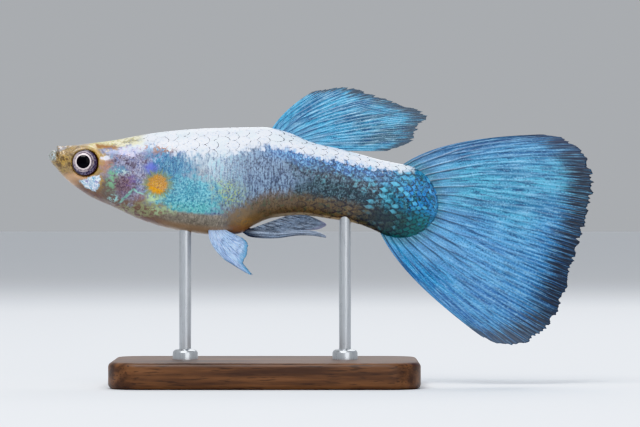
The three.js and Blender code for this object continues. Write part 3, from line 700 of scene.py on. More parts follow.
# Tip of the lower jaw: pale blue-grey, mottled
jaw_tip = multiply(fade(mark_x, -24.1, -24.3), fade(mark_height, 1.3, 1.7))
lay((136, 144, 142), jaw_tip, 0.85)
lay((186, 198, 202), jaw_tip, fleck, 0.8)
lay((112, 96, 70), jaw_tip, pit, 0.7)

ground = paint(marks, shade(92, 114, 144), shade(124, 148, 178), cloud)
for colour, mask in coats:
    ground = paint(marks, ground, shade(*colour), mask)
# Where the scales show dark rims: dark rim pigment, with painted shade where each scale overlaps the next
netted = fade(mark_x, -7.5, 2.0)
# Where the tail root's scales carry painted glints
tail_glints = multiply(spot(7.0, -1.3, 3.6, 2.6, 0.5, 0.4), fade(white, 0.5, 0.0))
shiny = multiply(either(cheek, gill, tail_root, multiply(fleck, 0.7)), minus(1.0, orange))
for socket, value in {
    "Colour": ground,
    "Shine": shiny,
    "Outline": either(multiply(white, 0.9), multiply(netted, 0.75), 0.1),
    "Broad Outline": multiply(netted, fade(white, 0.6, 0.1), 0.8),
    "Glints": tail_glints,
}.items():
    marks.links.new(value, marks_out.inputs[socket])


def add_group(tree, group):
    """Places a node group in a material."""
    placed = tree.nodes.new("ShaderNodeGroup")
    placed.node_tree = group
    return placed


skin_material, skin_tree, skin_shader = make_material(
    "wet_skin", Coat_Weight=0.3, Coat_Roughness=0.12, Subsurface_Weight=0.06, Subsurface_Scale=0.0005)
skin_marks = add_group(skin_tree, marks)
skin_tree.links.new(skin_marks.outputs["Colour"], skin_shader.inputs["Base Color"])
skin_tree.links.new(
    number(skin_tree, "MULTIPLY", skin_marks.outputs["Shine"], 0.25), skin_shader.inputs["Metallic"])
skin_tree.links.new(
    number(skin_tree, "MULTIPLY_ADD", skin_marks.outputs["Shine"], -0.14, 0.42),
    skin_shader.inputs["Roughness"])
skin_place = add(skin_tree, "ShaderNodeTexCoord", out=3)
pores = add(skin_tree, "ShaderNodeTexNoise", skin_place, None, 9000.0, 3.0)
skin_tree.links.new(
    add(skin_tree, "ShaderNodeBump", 0.35, 0.00004, None, pores), skin_shader.inputs["Normal"])

# The rings crowd towards the snout, and close up again round the stalk's end.
skin_along = body_length * (np.arange(SKIN["rings"]) / SKIN["rings"]) ** SKIN["crowding"]
end_turn = np.radians(SKIN["end_turn"] * np.arange(SKIN["end_rings"]) / (SKIN["end_rings"] - 1))
end_along = body_length + (STALK_END["length"] - SKIN["inset"]) * np.sin(end_turn)
skin_along = np.concatenate([skin_along, end_along])
skin_angle = 2 * math.pi * np.arange(SKIN["around"]) / SKIN["around"] - math.pi / 2
grid_along, grid_angle = np.meshgrid(skin_along, skin_angle, indexing="ij")
skin_points, skin_rise, _ = skin_point(grid_along, grid_angle)

# The eyes' sockets: the skin inside each eye's outline lies at the socket's floor.
skin_side = skin_points[..., 1]
within_eye = eye_distance(skin_points) < EYE["radius"] - SOCKET["margin"]
in_socket = within_eye & (np.abs(skin_side) > SOCKET["beyond"])
skin_points[..., 1] = np.where(in_socket, np.sign(skin_side) * SOCKET["floor"], skin_side)

skin = make_piece("skin", skin_points.reshape(-1, 3), ring_faces(*grid_along.shape), skin_material)
skin_places = np.stack([skin_points[..., 0], skin_points[..., 2] - AXIS_HEIGHT, skin_rise], axis=-1)
give_attribute(skin, "place", skin_places.reshape(-1, 3))
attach(skin, "root")
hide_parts("head", "trunk", "tail_stalk")


# Scales
# Thin round-edged plates of bone in the skin, each over the root of the next, from nape and gill covers
# to the tail's root, where they are smallest. Each is a closed plate, sunk at its root and lifted at its tip.
SCALES = {
    "first": 4.9, "last": 0.86, "end": 0.985, "rows_around": 26,
    "spacing": 0.93, "tail_spacing": 0.46, "narrow_from": 28.0, "narrow_to": 34.5,
    "overlap": 1.75, "breadth": 1.16, "root_breadth": 0.8, "straight": 0.42, "roundness": 2.3, "tip": 0.985,
    "root_lift": -0.006, "tip_lift": 0.018, "dome": 0.005, "thickness": 0.008,
    "long_steps": 9, "cross_steps": 7, "nape_start": -18.6, "nape_rise": 0.8, "behind_gill": 0.28,
    "vary": 0.07, "sharp_edge": 50, "map_patch": 0.003,
}
chance = np.random.default_rng(7)


def angle_at(along, turn):
    """The section's angle at a share of the way round: 0 belly, 1 back by the left side, 2 belly again."""
    half = np.linspace(-math.pi / 2, math.pi / 2, 61)
    ring = body_point(along[..., None], half, 0.0)[0]
    steps = np.linalg.norm(np.diff(ring, axis=-2), axis=-1)
    gone = np.concatenate([np.zeros_like(steps[..., :1]), np.cumsum(steps, axis=-1)], axis=-1)
    gone /= gone[..., -1:]
    turn = np.mod(turn, 2)
    share = np.where(turn < 1, turn, 2 - turn)
    i = np.clip((gone < share[..., None]).sum(axis=-1) - 1, 0, len(half) - 2)
    low = np.take_along_axis(gone, i[..., None], axis=-1)[..., 0]
    high = np.take_along_axis(gone, i[..., None] + 1, axis=-1)[..., 0]
    right = half[i] + (half[1] - half[0]) * (share - low) / np.maximum(high - low, 1e-9)
    return np.where(turn < 1, math.pi - right, right)


scale_along = [SCALES["first"]]
while scale_along[-1] < body_length + STALK_END["length"] * SCALES["last"]:
    narrowing = smooth(scale_along[-1], SCALES["narrow_from"], SCALES["narrow_to"])
    change = (SCALES["tail_spacing"] - SCALES["spacing"]) * narrowing
    scale_along.append(scale_along[-1] + SCALES["spacing"] + change)
scale_roots = []
for column, along in enumerate(scale_along[:-1]):
    for row in range(SCALES["rows_around"]):
        turn = (row + 0.5 * (column % 2)) * 2 / SCALES["rows_around"]
        scale_roots.append((along, turn, scale_along[column + 1] - along))
scale_roots = np.array(scale_roots)
root_angle = angle_at(scale_roots[:, 0], scale_roots[:, 1])
root_points, root_rise = body_point(scale_roots[:, 0], root_angle)
on_nape = (root_rise > SCALES["nape_rise"]) & (root_points[:, 0] > SCALES["nape_start"])
on_body = gill_distance(root_points) > SCALES["behind_gill"]
scale_roots = scale_roots[on_nape | on_body]

# One scale, from its root to its tip by a and from side to side by b: straight sides, then a round tip
scale_a = np.linspace(0, SCALES["tip"], SCALES["long_steps"])
scale_b = np.linspace(-1, 1, SCALES["cross_steps"])
past_straight = np.clip((scale_a - SCALES["straight"]) / (1 - SCALES["straight"]), 0, 1)
root_narrowing = (1 - SCALES["root_breadth"]) * (1 - smooth(scale_a, 0, 0.3))
outline = np.sqrt(1 - past_straight ** SCALES["roundness"]) * (1 - root_narrowing)
a_grid, b_grid = np.meshgrid(scale_a, scale_b, indexing="ij")
b_place = b_grid * outline[:, None]
edge_grid = np.clip(np.hypot(past_straight[:, None], b_place), 0, 1)
lift_grid = SCALES["root_lift"] + (SCALES["tip_lift"] - SCALES["root_lift"]) * a_grid
lift_grid = lift_grid + SCALES["dome"] * (1 - b_place ** 2) * np.sin(math.pi * a_grid ** 0.8)

count = len(scale_roots)
wobble = 1 + SCALES["vary"] * chance.uniform(-1, 1, (count, 1, 1))
tone = chance.uniform(0, 1, count)
scale_s = scale_roots[:, 0, None, None] + a_grid * scale_roots[:, 2, None, None] * SCALES["overlap"] * wobble
scale_turn = scale_roots[:, 1, None, None] + b_place * SCALES["breadth"] / SCALES["rows_around"]
scale_s = np.minimum(scale_s, body_length + (STALK_END["length"] - SKIN["inset"]) * SCALES["end"])
scale_angle = angle_at(scale_s, scale_turn)
bed, bed_rise, bed_out = skin_point(scale_s, scale_angle)
top = bed + bed_out * lift_grid[None, :, :, None]
under = top - bed_out * SCALES["thickness"]

patch = SCALES["long_steps"] * SCALES["cross_steps"]
index = np.arange(patch).reshape(SCALES["long_steps"], SCALES["cross_steps"])
cell = np.stack([index[:-1, :-1], index[:-1, 1:], index[1:, 1:], index[1:, :-1]], axis=-1).reshape(-1, 4)
border = np.concatenate([index[0, :-1], index[:-1, -1], index[-1, :0:-1], index[:0:-1, 0]])
skirt = np.stack([border, border + patch, np.roll(border, -1) + patch, np.roll(border, -1)], axis=-1)
scale_faces = np.concatenate([cell[:, ::-1], cell + patch, skirt[:, ::-1]])

scale_material, scale_tree, scale_shader = make_material("scales", Coat_Weight=0.3, Coat_Roughness=0.15)
scale_marks = add_group(scale_tree, marks)
scale_tone, scale_edge, _ = stored(scale_tree, "scale")
scale_glints = scale_marks.outputs["Glints"]
dark_scale = number(scale_tree, "MULTIPLY", step_up(scale_tree, scale_tone, 0.4, 0.1),
                    number(scale_tree, "MULTIPLY_ADD", scale_marks.outputs["Broad Outline"], 0.35, 0.08))
scale_colour = paint(scale_tree, scale_marks.outputs["Colour"], shade(26, 40, 52), dark_scale)
# Painted glints: some scales in the glint patch turn bright cyan towards their middles
glinting_scale = number(scale_tree, "MULTIPLY", step_up(scale_tree, scale_tone, 0.5, 0.95), scale_glints)
glinting_scale = number(scale_tree, "MULTIPLY", glinting_scale, step_up(scale_tree, scale_edge, 0.95, 0.3))
glint_mask = number(scale_tree, "MULTIPLY", glinting_scale, 0.6)
scale_colour = paint(scale_tree, scale_colour, shade(104, 196, 226), glint_mask)
# Dark rim of each scale: dark pigment, and painted shade along the edge that lies over the next scale, broken
# up by noise
outline_start = number(scale_tree, "MULTIPLY_ADD", scale_marks.outputs["Broad Outline"], -0.25, 0.84)
past_outline = number(scale_tree, "SUBTRACT", scale_edge, outline_start)
on_edge = step_up(scale_tree, past_outline, 0.0, 0.1)
rim_shade_and_pigment = number(scale_tree, "MULTIPLY", on_edge, scale_marks.outputs["Outline"])
scale_place = add(scale_tree, "ShaderNodeTexCoord", out=3)
rim_gaps = add(scale_tree, "ShaderNodeTexNoise", scale_place, None, 4500.0, 2.0)
rim_shade_and_pigment = number(scale_tree, "MULTIPLY", rim_shade_and_pigment, step_up(scale_tree, rim_gaps, 0.36, 0.56))
scale_colour = paint(scale_tree, scale_colour, shade(36, 40, 54), rim_shade_and_pigment)
scale_tree.links.new(scale_colour, scale_shader.inputs["Base Color"])
scale_shine = number(scale_tree, "MULTIPLY_ADD", scale_marks.outputs["Shine"], 0.25, 0.05)
scale_rough = number(scale_tree, "MULTIPLY_ADD", scale_tone, 0.16, 0.3)
growth_rings = number(scale_tree, "SINE", number(scale_tree, "MULTIPLY", scale_edge, 60.0))
ring_relief = add(scale_tree, "ShaderNodeBump", 0.15, 0.000004, None, growth_rings)
scale_tree.links.new(scale_shine, scale_shader.inputs["Metallic"])
scale_tree.links.new(scale_rough, scale_shader.inputs["Roughness"])
scale_tree.links.new(ring_relief, scale_shader.inputs["Normal"])

for label, lowest, highest in (("left", 0.0, 1.0), ("right", 1.0, 2.0)):
    root_turn = np.mod(scale_roots[:, 1], 2)
    chosen = (root_turn >= lowest) & (root_turn < highest)
    many = int(chosen.sum())
    both = np.concatenate([side[chosen].reshape(many, patch, 3) for side in (top, under)], axis=1)
    offsets = (np.arange(many) * 2 * patch)[:, None, None]
    faces = (scale_faces[None] + offsets).reshape(-1, 4).tolist()
    scales = make_piece(f"scales_{label}", both.reshape(-1, 3), faces, scale_material)
    scales.data.set_sharp_from_angle(angle=math.radians(SCALES["sharp_edge"]))
    rise = np.tile(bed_rise[chosen].reshape(many, patch), (1, 2))
    give_attribute(scales, "place", np.stack(
        [both[..., 0], both[..., 2] - AXIS_HEIGHT, rise], axis=-1).reshape(-1, 3))
    facts = np.zeros((many, 2 * patch, 3))
    facts[..., 0] = tone[chosen][:, None]
    facts[..., 1] = np.tile(edge_grid.ravel(), 2)
    give_attribute(scales, "scale", facts.reshape(-1, 3))
    # Each scale is a small patch of the map, at its root's place on the skin unrolled: along, and round.
    map_u = scale_roots[chosen, 0] / whole_length
    map_v = root_turn[chosen] / 2
    patch_u = np.tile((a_grid.ravel() - 0.5) * SCALES["map_patch"], 2)
    patch_v = np.tile(b_place.ravel() * SCALES["map_patch"] / 2, 2)
    places = np.stack([map_u[:, None] + patch_u, map_v[:, None] + patch_v], axis=-1).reshape(-1, 2)
    give_map(scales, "OFBake", np.clip(places, 0.001, 0.999))
    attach(scales, "root")


# Eyes
# Glossy balls set deep in the head: a black pupil, a bright silver ring and a dark violet rim.
# The iris stands a little above the rim, and the wet cornea over all of it is the shader's coat.
EYE_MESH = {"around": 96, "rings": 60, "first_turn": 2, "last_turn": 172}
IRIS = {"outer": 0.94, "pupil": 0.61, "step": 0.05, "step_width": 0.05, "shift": (-0.14, 0.11), "none": 9.0}

eye_material, eye_tree, eye_shader = make_material(
    "eye", Coat_Weight=0.25, Coat_Roughness=0.03, Specular_IOR_Level=0.1)
from_pupil, rearward, from_axis = stored(eye_tree, "iris")
eye_place = add(eye_tree, "ShaderNodeTexCoord", out=3)
eye_grain = add(eye_tree, "ShaderNodeTexNoise", eye_place, None, 7000.0, 3.0)


def eye_ring(inner, outer, soft=0.03):
    """A mask for a ring round the pupil, between two distances from its middle."""
    return number(eye_tree, "MULTIPLY", step_up(eye_tree, from_pupil, inner - soft, inner + soft),
                  step_up(eye_tree, from_pupil, outer + soft, outer - soft))


eye_colour = paint(eye_tree, shade(70, 64, 84), shade(126, 120, 142), step_up(eye_tree, eye_grain, 0.44, 0.6))
eye_colour = paint(eye_tree, eye_colour, shade(58, 50, 58), step_up(eye_tree, from_axis, 1.04, 1.14))
eye_colour = paint(eye_tree, eye_colour, shade(122, 104, 80), step_up(eye_tree, from_axis, 1.14, 1.21))
silver = eye_ring(IRIS["pupil"], IRIS["outer"])
silver_colour = paint(
    eye_tree, shade(196, 184, 188), shade(122, 110, 122), step_up(eye_tree, eye_grain, 0.5, 0.62))
silver_colour = paint(eye_tree, silver_colour, shade(236, 226, 224), eye_ring(0.64, 0.71))
eye_colour = paint(eye_tree, eye_colour, silver_colour, silver)
dusky = number(eye_tree, "MULTIPLY", eye_ring(0.77, 0.87, 0.04),
               number(eye_tree, "MULTIPLY_ADD", step_up(eye_tree, rearward, -0.5, 0.2), 0.6, 0.3))
eye_colour = paint(eye_tree, eye_colour, shade(84, 74, 88), dusky)
eye_colour = paint(eye_tree, eye_colour, shade(5, 4, 6), step_up(eye_tree, from_pupil, 0.63, 0.58))
eye_tree.links.new(eye_colour, eye_shader.inputs["Base Color"])
eye_tree.links.new(number(eye_tree, "MULTIPLY", silver, 0.25), eye_shader.inputs["Metallic"])
eye_tree.links.new(number(eye_tree, "MULTIPLY_ADD", silver, 0.1, 0.25), eye_shader.inputs["Roughness"])

for label, side in (("left", -1), ("right", 1)):
    polar = np.radians(np.linspace(EYE_MESH["first_turn"], EYE_MESH["last_turn"], EYE_MESH["rings"]))
    turn = 2 * math.pi * np.arange(EYE_MESH["around"]) / EYE_MESH["around"]
    polar_grid, turn_grid = np.meshgrid(polar, turn, indexing="ij")
    away_x = EYE["radius"] * np.sin(polar_grid) * np.cos(turn_grid)
    away_z = EYE["radius"] * np.sin(polar_grid) * np.sin(turn_grid)
    pupil_away = np.hypot(away_x - IRIS["shift"][0], away_z - IRIS["shift"][1])
    outward = EYE["bulge"] * np.cos(polar_grid)
    iris_step = (1 - smooth(pupil_away, IRIS["outer"] - IRIS["step_width"], IRIS["outer"])) * (outward > 0)
    outward = outward + IRIS["step"] * iris_step
    points = np.stack([
        EYE["x"] + away_x,
        side * (EYE["side"] + outward),
        AXIS_HEIGHT + EYE["height"] + away_z,
    ], axis=-1)
    faces = ring_faces(*polar_grid.shape)
    if side < 0:
        faces = [face[::-1] for face in faces]
    eye = make_piece(f"eyeball_{label}", points.reshape(-1, 3), faces, eye_material)
    front = np.where(outward > 0, pupil_away, IRIS["none"])
    give_attribute(eye, "iris", np.stack(
        [front, away_x + 0.6 * away_z, np.hypot(away_x, away_z)], axis=-1).reshape(-1, 3))
    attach(eye, "root")
    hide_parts(f"eye_{label}")


# Fins
# Thin clear membranes over branching bony rays, which stand out as fine ridges and fork twice.
# Each is made over the same root, tips and bow as its solid, thinner and with more rays.
FIN = {"half": 0.05, "rim_half": 0.022, "ray_height": 0.07, "rim_ray_height": 0.03}
# Each fork of a ray: how far it sets the branches apart, and where along the ray it begins and ends
RAY_FORKS = ((0.25, 0.22, 0.45), (0.125, 0.55, 0.8))


def ray_ridge(phase, v):
    """How much of a ray there is at a place across its spacing, -0.5 to 0.5, as it forks on its way out."""
    first, second = (apart * smooth(v, begin, end) for apart, begin, end in RAY_FORKS)
    width = 0.11 - 0.06 * smooth(v, 0.2, 0.85)
    branches = [a * first + b * second for a in (-1, 1) for b in (-1, 1)]
    return np.max([hump(phase - place, width) for place in branches], axis=0)


def fin_piece(name, surface, facing, rays, columns, rows, fringe, material, seed):
    """A closed thin plate over surface(u, v), with its rays as ridges and its rim frayed by their tips."""
    draw = np.random.default_rng(seed)
    u = np.linspace(0, 1, rays * columns + 1)
    v = np.linspace(0, 1, rows + 1)
    u_grid, v_grid = np.meshgrid(u, v, indexing="ij")
    phase = np.mod(u_grid * rays, 1) - 0.5
    ridge = ray_ridge(phase, v_grid)
    branch_length = np.interp(u, np.linspace(0, 1, rays * 4 + 1), draw.uniform(-1, 1, rays * 4 + 1))
    split = np.interp(u, np.linspace(0, 1, rays * 8 + 1), draw.uniform(-1, 1, rays * 8 + 1))
    fray = fringe * (0.3 * ridge[:, -1] - 0.75 + 0.4 * branch_length + 0.4 * split)
    reach = v_grid + fray[:, None] * smooth(v_grid, 0.8, 1)
    middle = surface(u_grid, reach)
    rim = smooth(v_grid, 0.75, 1)
    half = FIN["half"] + (FIN["rim_half"] - FIN["half"]) * rim
    half = half + (FIN["ray_height"] + (FIN["rim_ray_height"] - FIN["ray_height"]) * rim) * ridge
    offset = half[..., None] * np.asarray(facing)
    points = np.concatenate([(middle + offset).reshape(-1, 3), (middle - offset).reshape(-1, 3)])
    size = u_grid.size
    index = np.arange(size).reshape(u_grid.shape)
    cell = np.stack([index[:-1, :-1], index[1:, :-1], index[1:, 1:], index[:-1, 1:]], axis=-1).reshape(-1, 4)
    border = np.concatenate([index[:-1, 0], index[-1, :-1], index[:0:-1, -1], index[0, :0:-1]])
    after = np.roll(border, -1)
    skirt = np.stack([after, border, border + size, after + size], axis=-1)
    faces = np.concatenate([cell, cell[:, ::-1] + size, skirt])
    piece = make_piece(name, points, faces.tolist(), material)
    turn_outward(piece)
    facts = np.stack([u_grid, v_grid, ridge], axis=-1).reshape(-1, 3)
    give_attribute(piece, "ray", np.concatenate([facts, facts]))
    front_map = np.stack([u_grid.ravel() * 0.48 + 0.01, v_grid.ravel() * 0.98 + 0.01], axis=-1)
    give_map(piece, "fin_map", np.concatenate([front_map, front_map + (0.5, 0)]))
    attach(piece, "root")
    return piece


def turn_outward(piece):
    """Turns a closed mesh's faces so that they point out of it."""
    mesh = piece.data
    mesh.calc_loop_triangles()
    corners = [mesh.vertices[i].co for t in mesh.loop_triangles for i in t.vertices]
    corners = np.array(corners).reshape(-1, 3, 3)
    volume = np.einsum("ij,ij->i", corners[:, 0], np.cross(corners[:, 1], corners[:, 2])).sum()
    if volume < 0:
        mesh.flip_normals()


def ray_path(root, tip, root_angle, bow, v):
    """A ray's way out of its root in its own direction and over to its tip, in the fin's own plane."""
    reach = np.hypot(tip[0] - root[0], tip[1] - root[1]) * bow
    turn = (root[0] + reach * np.cos(root_angle), root[1] + reach * np.sin(root_angle))
    w = 1 - v
    return [w * w * root[k] + 2 * w * v * turn[k] + v * v * tip[k] for k in (0, 1)]


# Colour of a fin: a ground, streaks along the rays, the rays themselves and a smoky margin
fin_marks, fin_in, fin_out = new_group(
    "fin_colours",
    [("Colour", COLOUR), ("Alpha", FLOAT)],
    [("Ground", COLOUR), ("Streak", COLOUR), ("Shadow", COLOUR), ("Ray", COLOUR), ("Root Ray", COLOUR),
     ("Margin", COLOUR), ("Margin From", FLOAT), ("Body Alpha", FLOAT), ("Margin Alpha", FLOAT),
     ("Ray Alpha", FLOAT), ("Streaks", FLOAT)],
)
ray_u, ray_v, ray_mask = stored(fin_marks, "ray")


def fin_grain(across, along, detail=3.0):
    """Noise drawn out along the rays: across times the fin's number of streaks, and along it."""
    streaks = number(fin_marks, "MULTIPLY", fin_in.outputs["Streaks"], across)
    grain_place = add(fin_marks, "ShaderNodeCombineXYZ", number(fin_marks, "MULTIPLY", ray_u, streaks),
                      number(fin_marks, "MULTIPLY", ray_v, along), 0.0)
    return add(fin_marks, "ShaderNodeTexNoise", grain_place, None, 1.0, detail, 0.6)


def fin_coat(under, socket, mask, strength=1.0):
    """Lays one of the fin's own colours over another, through a mask and a strength."""
    return paint(fin_marks, under, fin_in.outputs[socket], number(fin_marks, "MULTIPLY", mask, strength))


broad_streak = fin_grain(1.0, 2.2)
fine_streak = fin_grain(4.0, 7.0)
fin_dots = fin_grain(7.0, 90.0, 1.0)
fin_colour = fin_coat(fin_in.outputs["Ground"], "Streak", step_up(fin_marks, broad_streak, 0.42, 0.58), 0.9)
fin_colour = fin_coat(fin_colour, "Shadow", step_up(fin_marks, fine_streak, 0.5, 0.36), 0.75)
fin_colour = fin_coat(fin_colour, "Ray", step_up(fin_marks, fine_streak, 0.54, 0.68), 0.6)
fin_colour = fin_coat(fin_colour, "Shadow", step_up(fin_marks, fin_dots, 0.45, 0.32), 0.6)
fin_colour = fin_coat(fin_colour, "Ray", step_up(fin_marks, fin_dots, 0.56, 0.7), 0.45)
far_out = step_up(fin_marks, ray_v, 0.3, 0.6)
fin_colour = fin_coat(fin_colour, "Ray", number(fin_marks, "MULTIPLY", ray_mask, far_out), 0.3)
uneven_v = number(fin_marks, "ADD", ray_v, number(fin_marks, "SUBTRACT", broad_streak, 0.5))
near_root = step_up(fin_marks, uneven_v, 0.42, 0.12)
ray_core = step_up(fin_marks, ray_mask, 0.35, 0.95)
between_rays = number(fin_marks, "SUBTRACT", 1.0, ray_mask)
fin_colour = fin_coat(fin_colour, "Ray", number(fin_marks, "MULTIPLY", near_root, between_rays), 0.2)
fin_colour = fin_coat(fin_colour, "Root Ray", number(fin_marks, "MULTIPLY", near_root, ray_core), 0.7)
hair_streak = fin_grain(12.0, 5.0, 2.0)
margin_shake = number(fin_marks, "MULTIPLY", number(fin_marks, "SUBTRACT", hair_streak, 0.5), 0.35)
margin_start = number(fin_marks, "ADD", fin_in.outputs["Margin From"], margin_shake)
margin = step_up(fin_marks, number(fin_marks, "SUBTRACT", ray_v, margin_start), -0.09, 0.07)
pale_tip = number(fin_marks, "MULTIPLY_ADD", step_up(fin_marks, hair_streak, 0.5, 0.6), -0.45, 1.0)
fin_colour = fin_coat(fin_colour, "Margin", number(fin_marks, "MULTIPLY", margin, pale_tip))
ray_alpha = number(fin_marks, "MULTIPLY", ray_mask, fin_in.outputs["Ray Alpha"])
body_alpha = number(fin_marks, "MAXIMUM", fin_in.outputs["Body Alpha"], ray_alpha)
margin_alpha = number(fin_marks, "MAXIMUM", fin_in.outputs["Margin Alpha"], ray_alpha)
alpha = add(fin_marks, "ShaderNodeMix", margin, None, body_alpha, margin_alpha, data_type="FLOAT")
fin_marks.links.new(fin_colour, fin_out.inputs["Colour"])
fin_marks.links.new(alpha, fin_out.inputs["Alpha"])


def fin_material(name, colours, margin_from, body_alpha, margin_alpha, ray_alpha, streaks):
    """A fin's membrane and rays in its own colours. Gives back its node tree and group, for patches."""
    material, tree, shader = make_material(name, Roughness=0.4, Coat_Weight=0.2, Coat_Roughness=0.2)
    placed = add_group(tree, fin_marks)
    for socket, colour in colours.items():
        placed.inputs[socket].default_value = shade(*colour)
    placed.inputs["Margin From"].default_value = margin_from
    placed.inputs["Body Alpha"].default_value = body_alpha
    placed.inputs["Margin Alpha"].default_value = margin_alpha
    placed.inputs["Ray Alpha"].default_value = ray_alpha
    placed.inputs["Streaks"].default_value = streaks
    tree.links.new(placed.outputs["Colour"], shader.inputs["Base Color"])
    tree.links.new(placed.outputs["Alpha"], shader.inputs["Alpha"])
    return material, tree, placed


def fin_patch(tree, u_from, u_to, v_from, v_to, soft=0.12):
    """A soft-edged mask over part of a fin, by its share across the rays and along them."""
    u, v, _ = stored(tree, "ray")
    across = number(tree, "MULTIPLY", step_up(tree, u, u_from - soft, u_from + soft),
                    step_up(tree, u, u_to + soft, u_to - soft))
    along = number(tree, "MULTIPLY", step_up(tree, v, v_from - soft, v_from + soft),
                   step_up(tree, v, v_to + soft, v_to - soft))
    return number(tree, "MULTIPLY", across, along)


# Tail fin
# The broad fan, sky blue with turquoise streaks, paler low in its middle, azure along its lower front edge
# and smoky at the margin. Its rays run from the rounded end of the tail stalk, into which they are rooted.
CAUDAL = {
    "rays": 18, "columns": 18, "rows": 110,
    "centre": (6.83, -2.14), "root_radius": 3.3, "root_from": 82, "root_to": -119,
    "reach": 17.6, "middle_angle": -17, "half_spread": 43.5, "edge_drop": 0.235, "edge_power": 7,
    "lobe": 0.03, "first_lobe": 0.19, "lobe_spacing": 0.6,
    "root_angle_from": 35, "root_angle_to": -65, "bow": 0.36, "wave": 0.45, "fringe": 0.022,
}
CAUDAL_COLOURS = {
    "Ground": (54, 110, 168), "Streak": (76, 146, 196), "Shadow": (26, 62, 106),
    "Ray": (136, 190, 222), "Root Ray": (58, 72, 86), "Margin": (26, 34, 50),
}
# Ground, streaks and place of each patch: across the rays from and to, along them from and to, and softness
CAUDAL_PATCHES = {
    "turquoise": ((50, 122, 160), (78, 166, 196), (0.14, 0.46, 0.1, 1.0, 0.12)),
    "pale middle": ((80, 140, 192), (90, 160, 208), (0.52, 0.84, 0.12, 0.6, 0.12)),
    "deep rim": ((20, 86, 148), (44, 124, 182), (0.35, 0.78, 0.74, 1.1, 0.12)),
    "azure front": ((0, 92, 156), (22, 144, 200), (0.84, 1.3, -0.3, 0.55, 0.1)),
    "violet top": ((44, 80, 124), (64, 116, 162), (-0.2, 0.09, -0.3, 1.2, 0.12)),
    "dark root": ((24, 84, 104), (30, 120, 150), (-0.2, 1.2, -0.2, 0.09, 0.05)),
}


def from_centre(away, turn):
    """The x and height of a place at a distance and direction from the middle of the fan's root."""
    return [CAUDAL["centre"][0] + away * np.cos(turn), CAUDAL["centre"][1] + away * np.sin(turn)]


def caudal_surface(u, v):
    """Points of the tail fin's middle, from its upper edge to its lower one and from root to margin."""
    c = CAUDAL
    root_turn = np.radians(c["root_from"] + (c["root_to"] - c["root_from"]) * u)
    root = from_centre(c["root_radius"], root_turn)
    turn = 1 - 2 * u
    tip_turn = np.radians(c["middle_angle"] + c["half_spread"] * turn)
    lobes = 1 + c["lobe"] * np.cos(2 * math.pi * (u - c["first_lobe"]) / c["lobe_spacing"])
    reach = c["reach"] * lobes * (1 - c["edge_drop"] * np.abs(turn) ** c["edge_power"])
    tip = from_centre(reach, tip_turn)
    root_angle = np.radians(c["root_angle_from"] + (c["root_angle_to"] - c["root_angle_from"]) * u)
    x, height = ray_path(root, tip, root_angle, c["bow"], v)
    swell = c["wave"] * np.sin(3 * math.pi * u + 0.6) * np.abs(v) ** 1.5
    return np.stack([x, swell, AXIS_HEIGHT + height], axis=-1)


caudal_material, caudal_tree, caudal_group = fin_material(
    "tail_fin", CAUDAL_COLOURS,
    margin_from=0.885, body_alpha=0.99, margin_alpha=0.93, ray_alpha=0.97, streaks=20)
caudal_ground = shade(*CAUDAL_COLOURS["Ground"])
caudal_streak = shade(*CAUDAL_COLOURS["Streak"])
for ground_tint, streak_tint, where in CAUDAL_PATCHES.values():
    caudal_patch = fin_patch(caudal_tree, *where)
    caudal_ground = paint(caudal_tree, caudal_ground, shade(*ground_tint), caudal_patch)
    caudal_streak = paint(caudal_tree, caudal_streak, shade(*streak_tint), caudal_patch)
caudal_tree.links.new(caudal_ground, caudal_group.inputs["Ground"])
caudal_tree.links.new(caudal_streak, caudal_group.inputs["Streak"])
low_rim = fin_patch(caudal_tree, 0.8, 1.3, 0.5, 1.3)
top_rim = fin_patch(caudal_tree, -0.3, 0.14, 0.5, 1.3)
caudal_margin = paint(caudal_tree, shade(*CAUDAL_COLOURS["Margin"]), shade(66, 78, 96), low_rim)
caudal_margin = paint(caudal_tree, caudal_margin, shade(58, 68, 92), top_rim)
caudal_tree.links.new(caudal_margin, caudal_group.inputs["Margin"])
caudal = fin_piece(
    "tail_fin", caudal_surface, (0, 1, 0), CAUDAL["rays"], CAUDAL["columns"], CAUDAL["rows"],
    CAUDAL["fringe"], caudal_material, seed=11)
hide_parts("caudal_fin")


# Back fin, belly fins and anal fin
# Membranes in or near the fish's middle plane. Each is drawn from its root line to the tips of its rays.
# The back fin is turquoise with pale rays and a ragged, clearer rear. The others are pale and dusky.
def tipped_surface(tips, root_from, root_to, angle_from, angle_to, bow, side=0.0, splay=0.0):
    """The middle of a fin between its root line and its tips, leaning out by splay degrees."""
    tips = np.array(tips)
    tip_places = np.linspace(0, 1, len(tips))
    lean = math.radians(splay)

    def surface(u, v):
        root = [root_from[k] + (root_to[k] - root_from[k]) * u for k in (0, 1)]
        tip = [between(tip_places, tips[:, k], u) for k in (0, 1)]
        x, height = ray_path(root, tip, np.radians(angle_from + (angle_to - angle_from) * u), bow, v)
        drop = root_from[1] - height
        return np.stack([
            x, side + drop * math.sin(lean), AXIS_HEIGHT + root_from[1] - drop * math.cos(lean)], axis=-1)

    return surface, (0, math.cos(lean), math.sin(lean))


DORSAL_TIPS = [
    (-0.8, 7.85), (2.28, 8.2), (5.46, 7.29), (7.74, 6.47),
    (9.61, 5.65), (8.77, 4.39), (8.2, 3.14), (5.92, 2.37),
]
DORSAL_COLOURS = {
    "Ground": (38, 108, 154), "Streak": (76, 168, 206), "Shadow": (28, 74, 124),
    "Ray": (160, 206, 230), "Root Ray": (46, 80, 122), "Margin": (70, 84, 100),
}
DORSAL_PATCHES = {
    "turquoise front": ((56, 164, 208), (-0.3, 0.06, -0.3, 0.9, 0.12)),
    "dull tips": ((44, 84, 106), (0.45, 1.3, 0.5, 1.3, 0.2)),
    "pale rear": ((96, 154, 186), (0.7, 1.3, -0.3, 0.5, 0.12)),
}

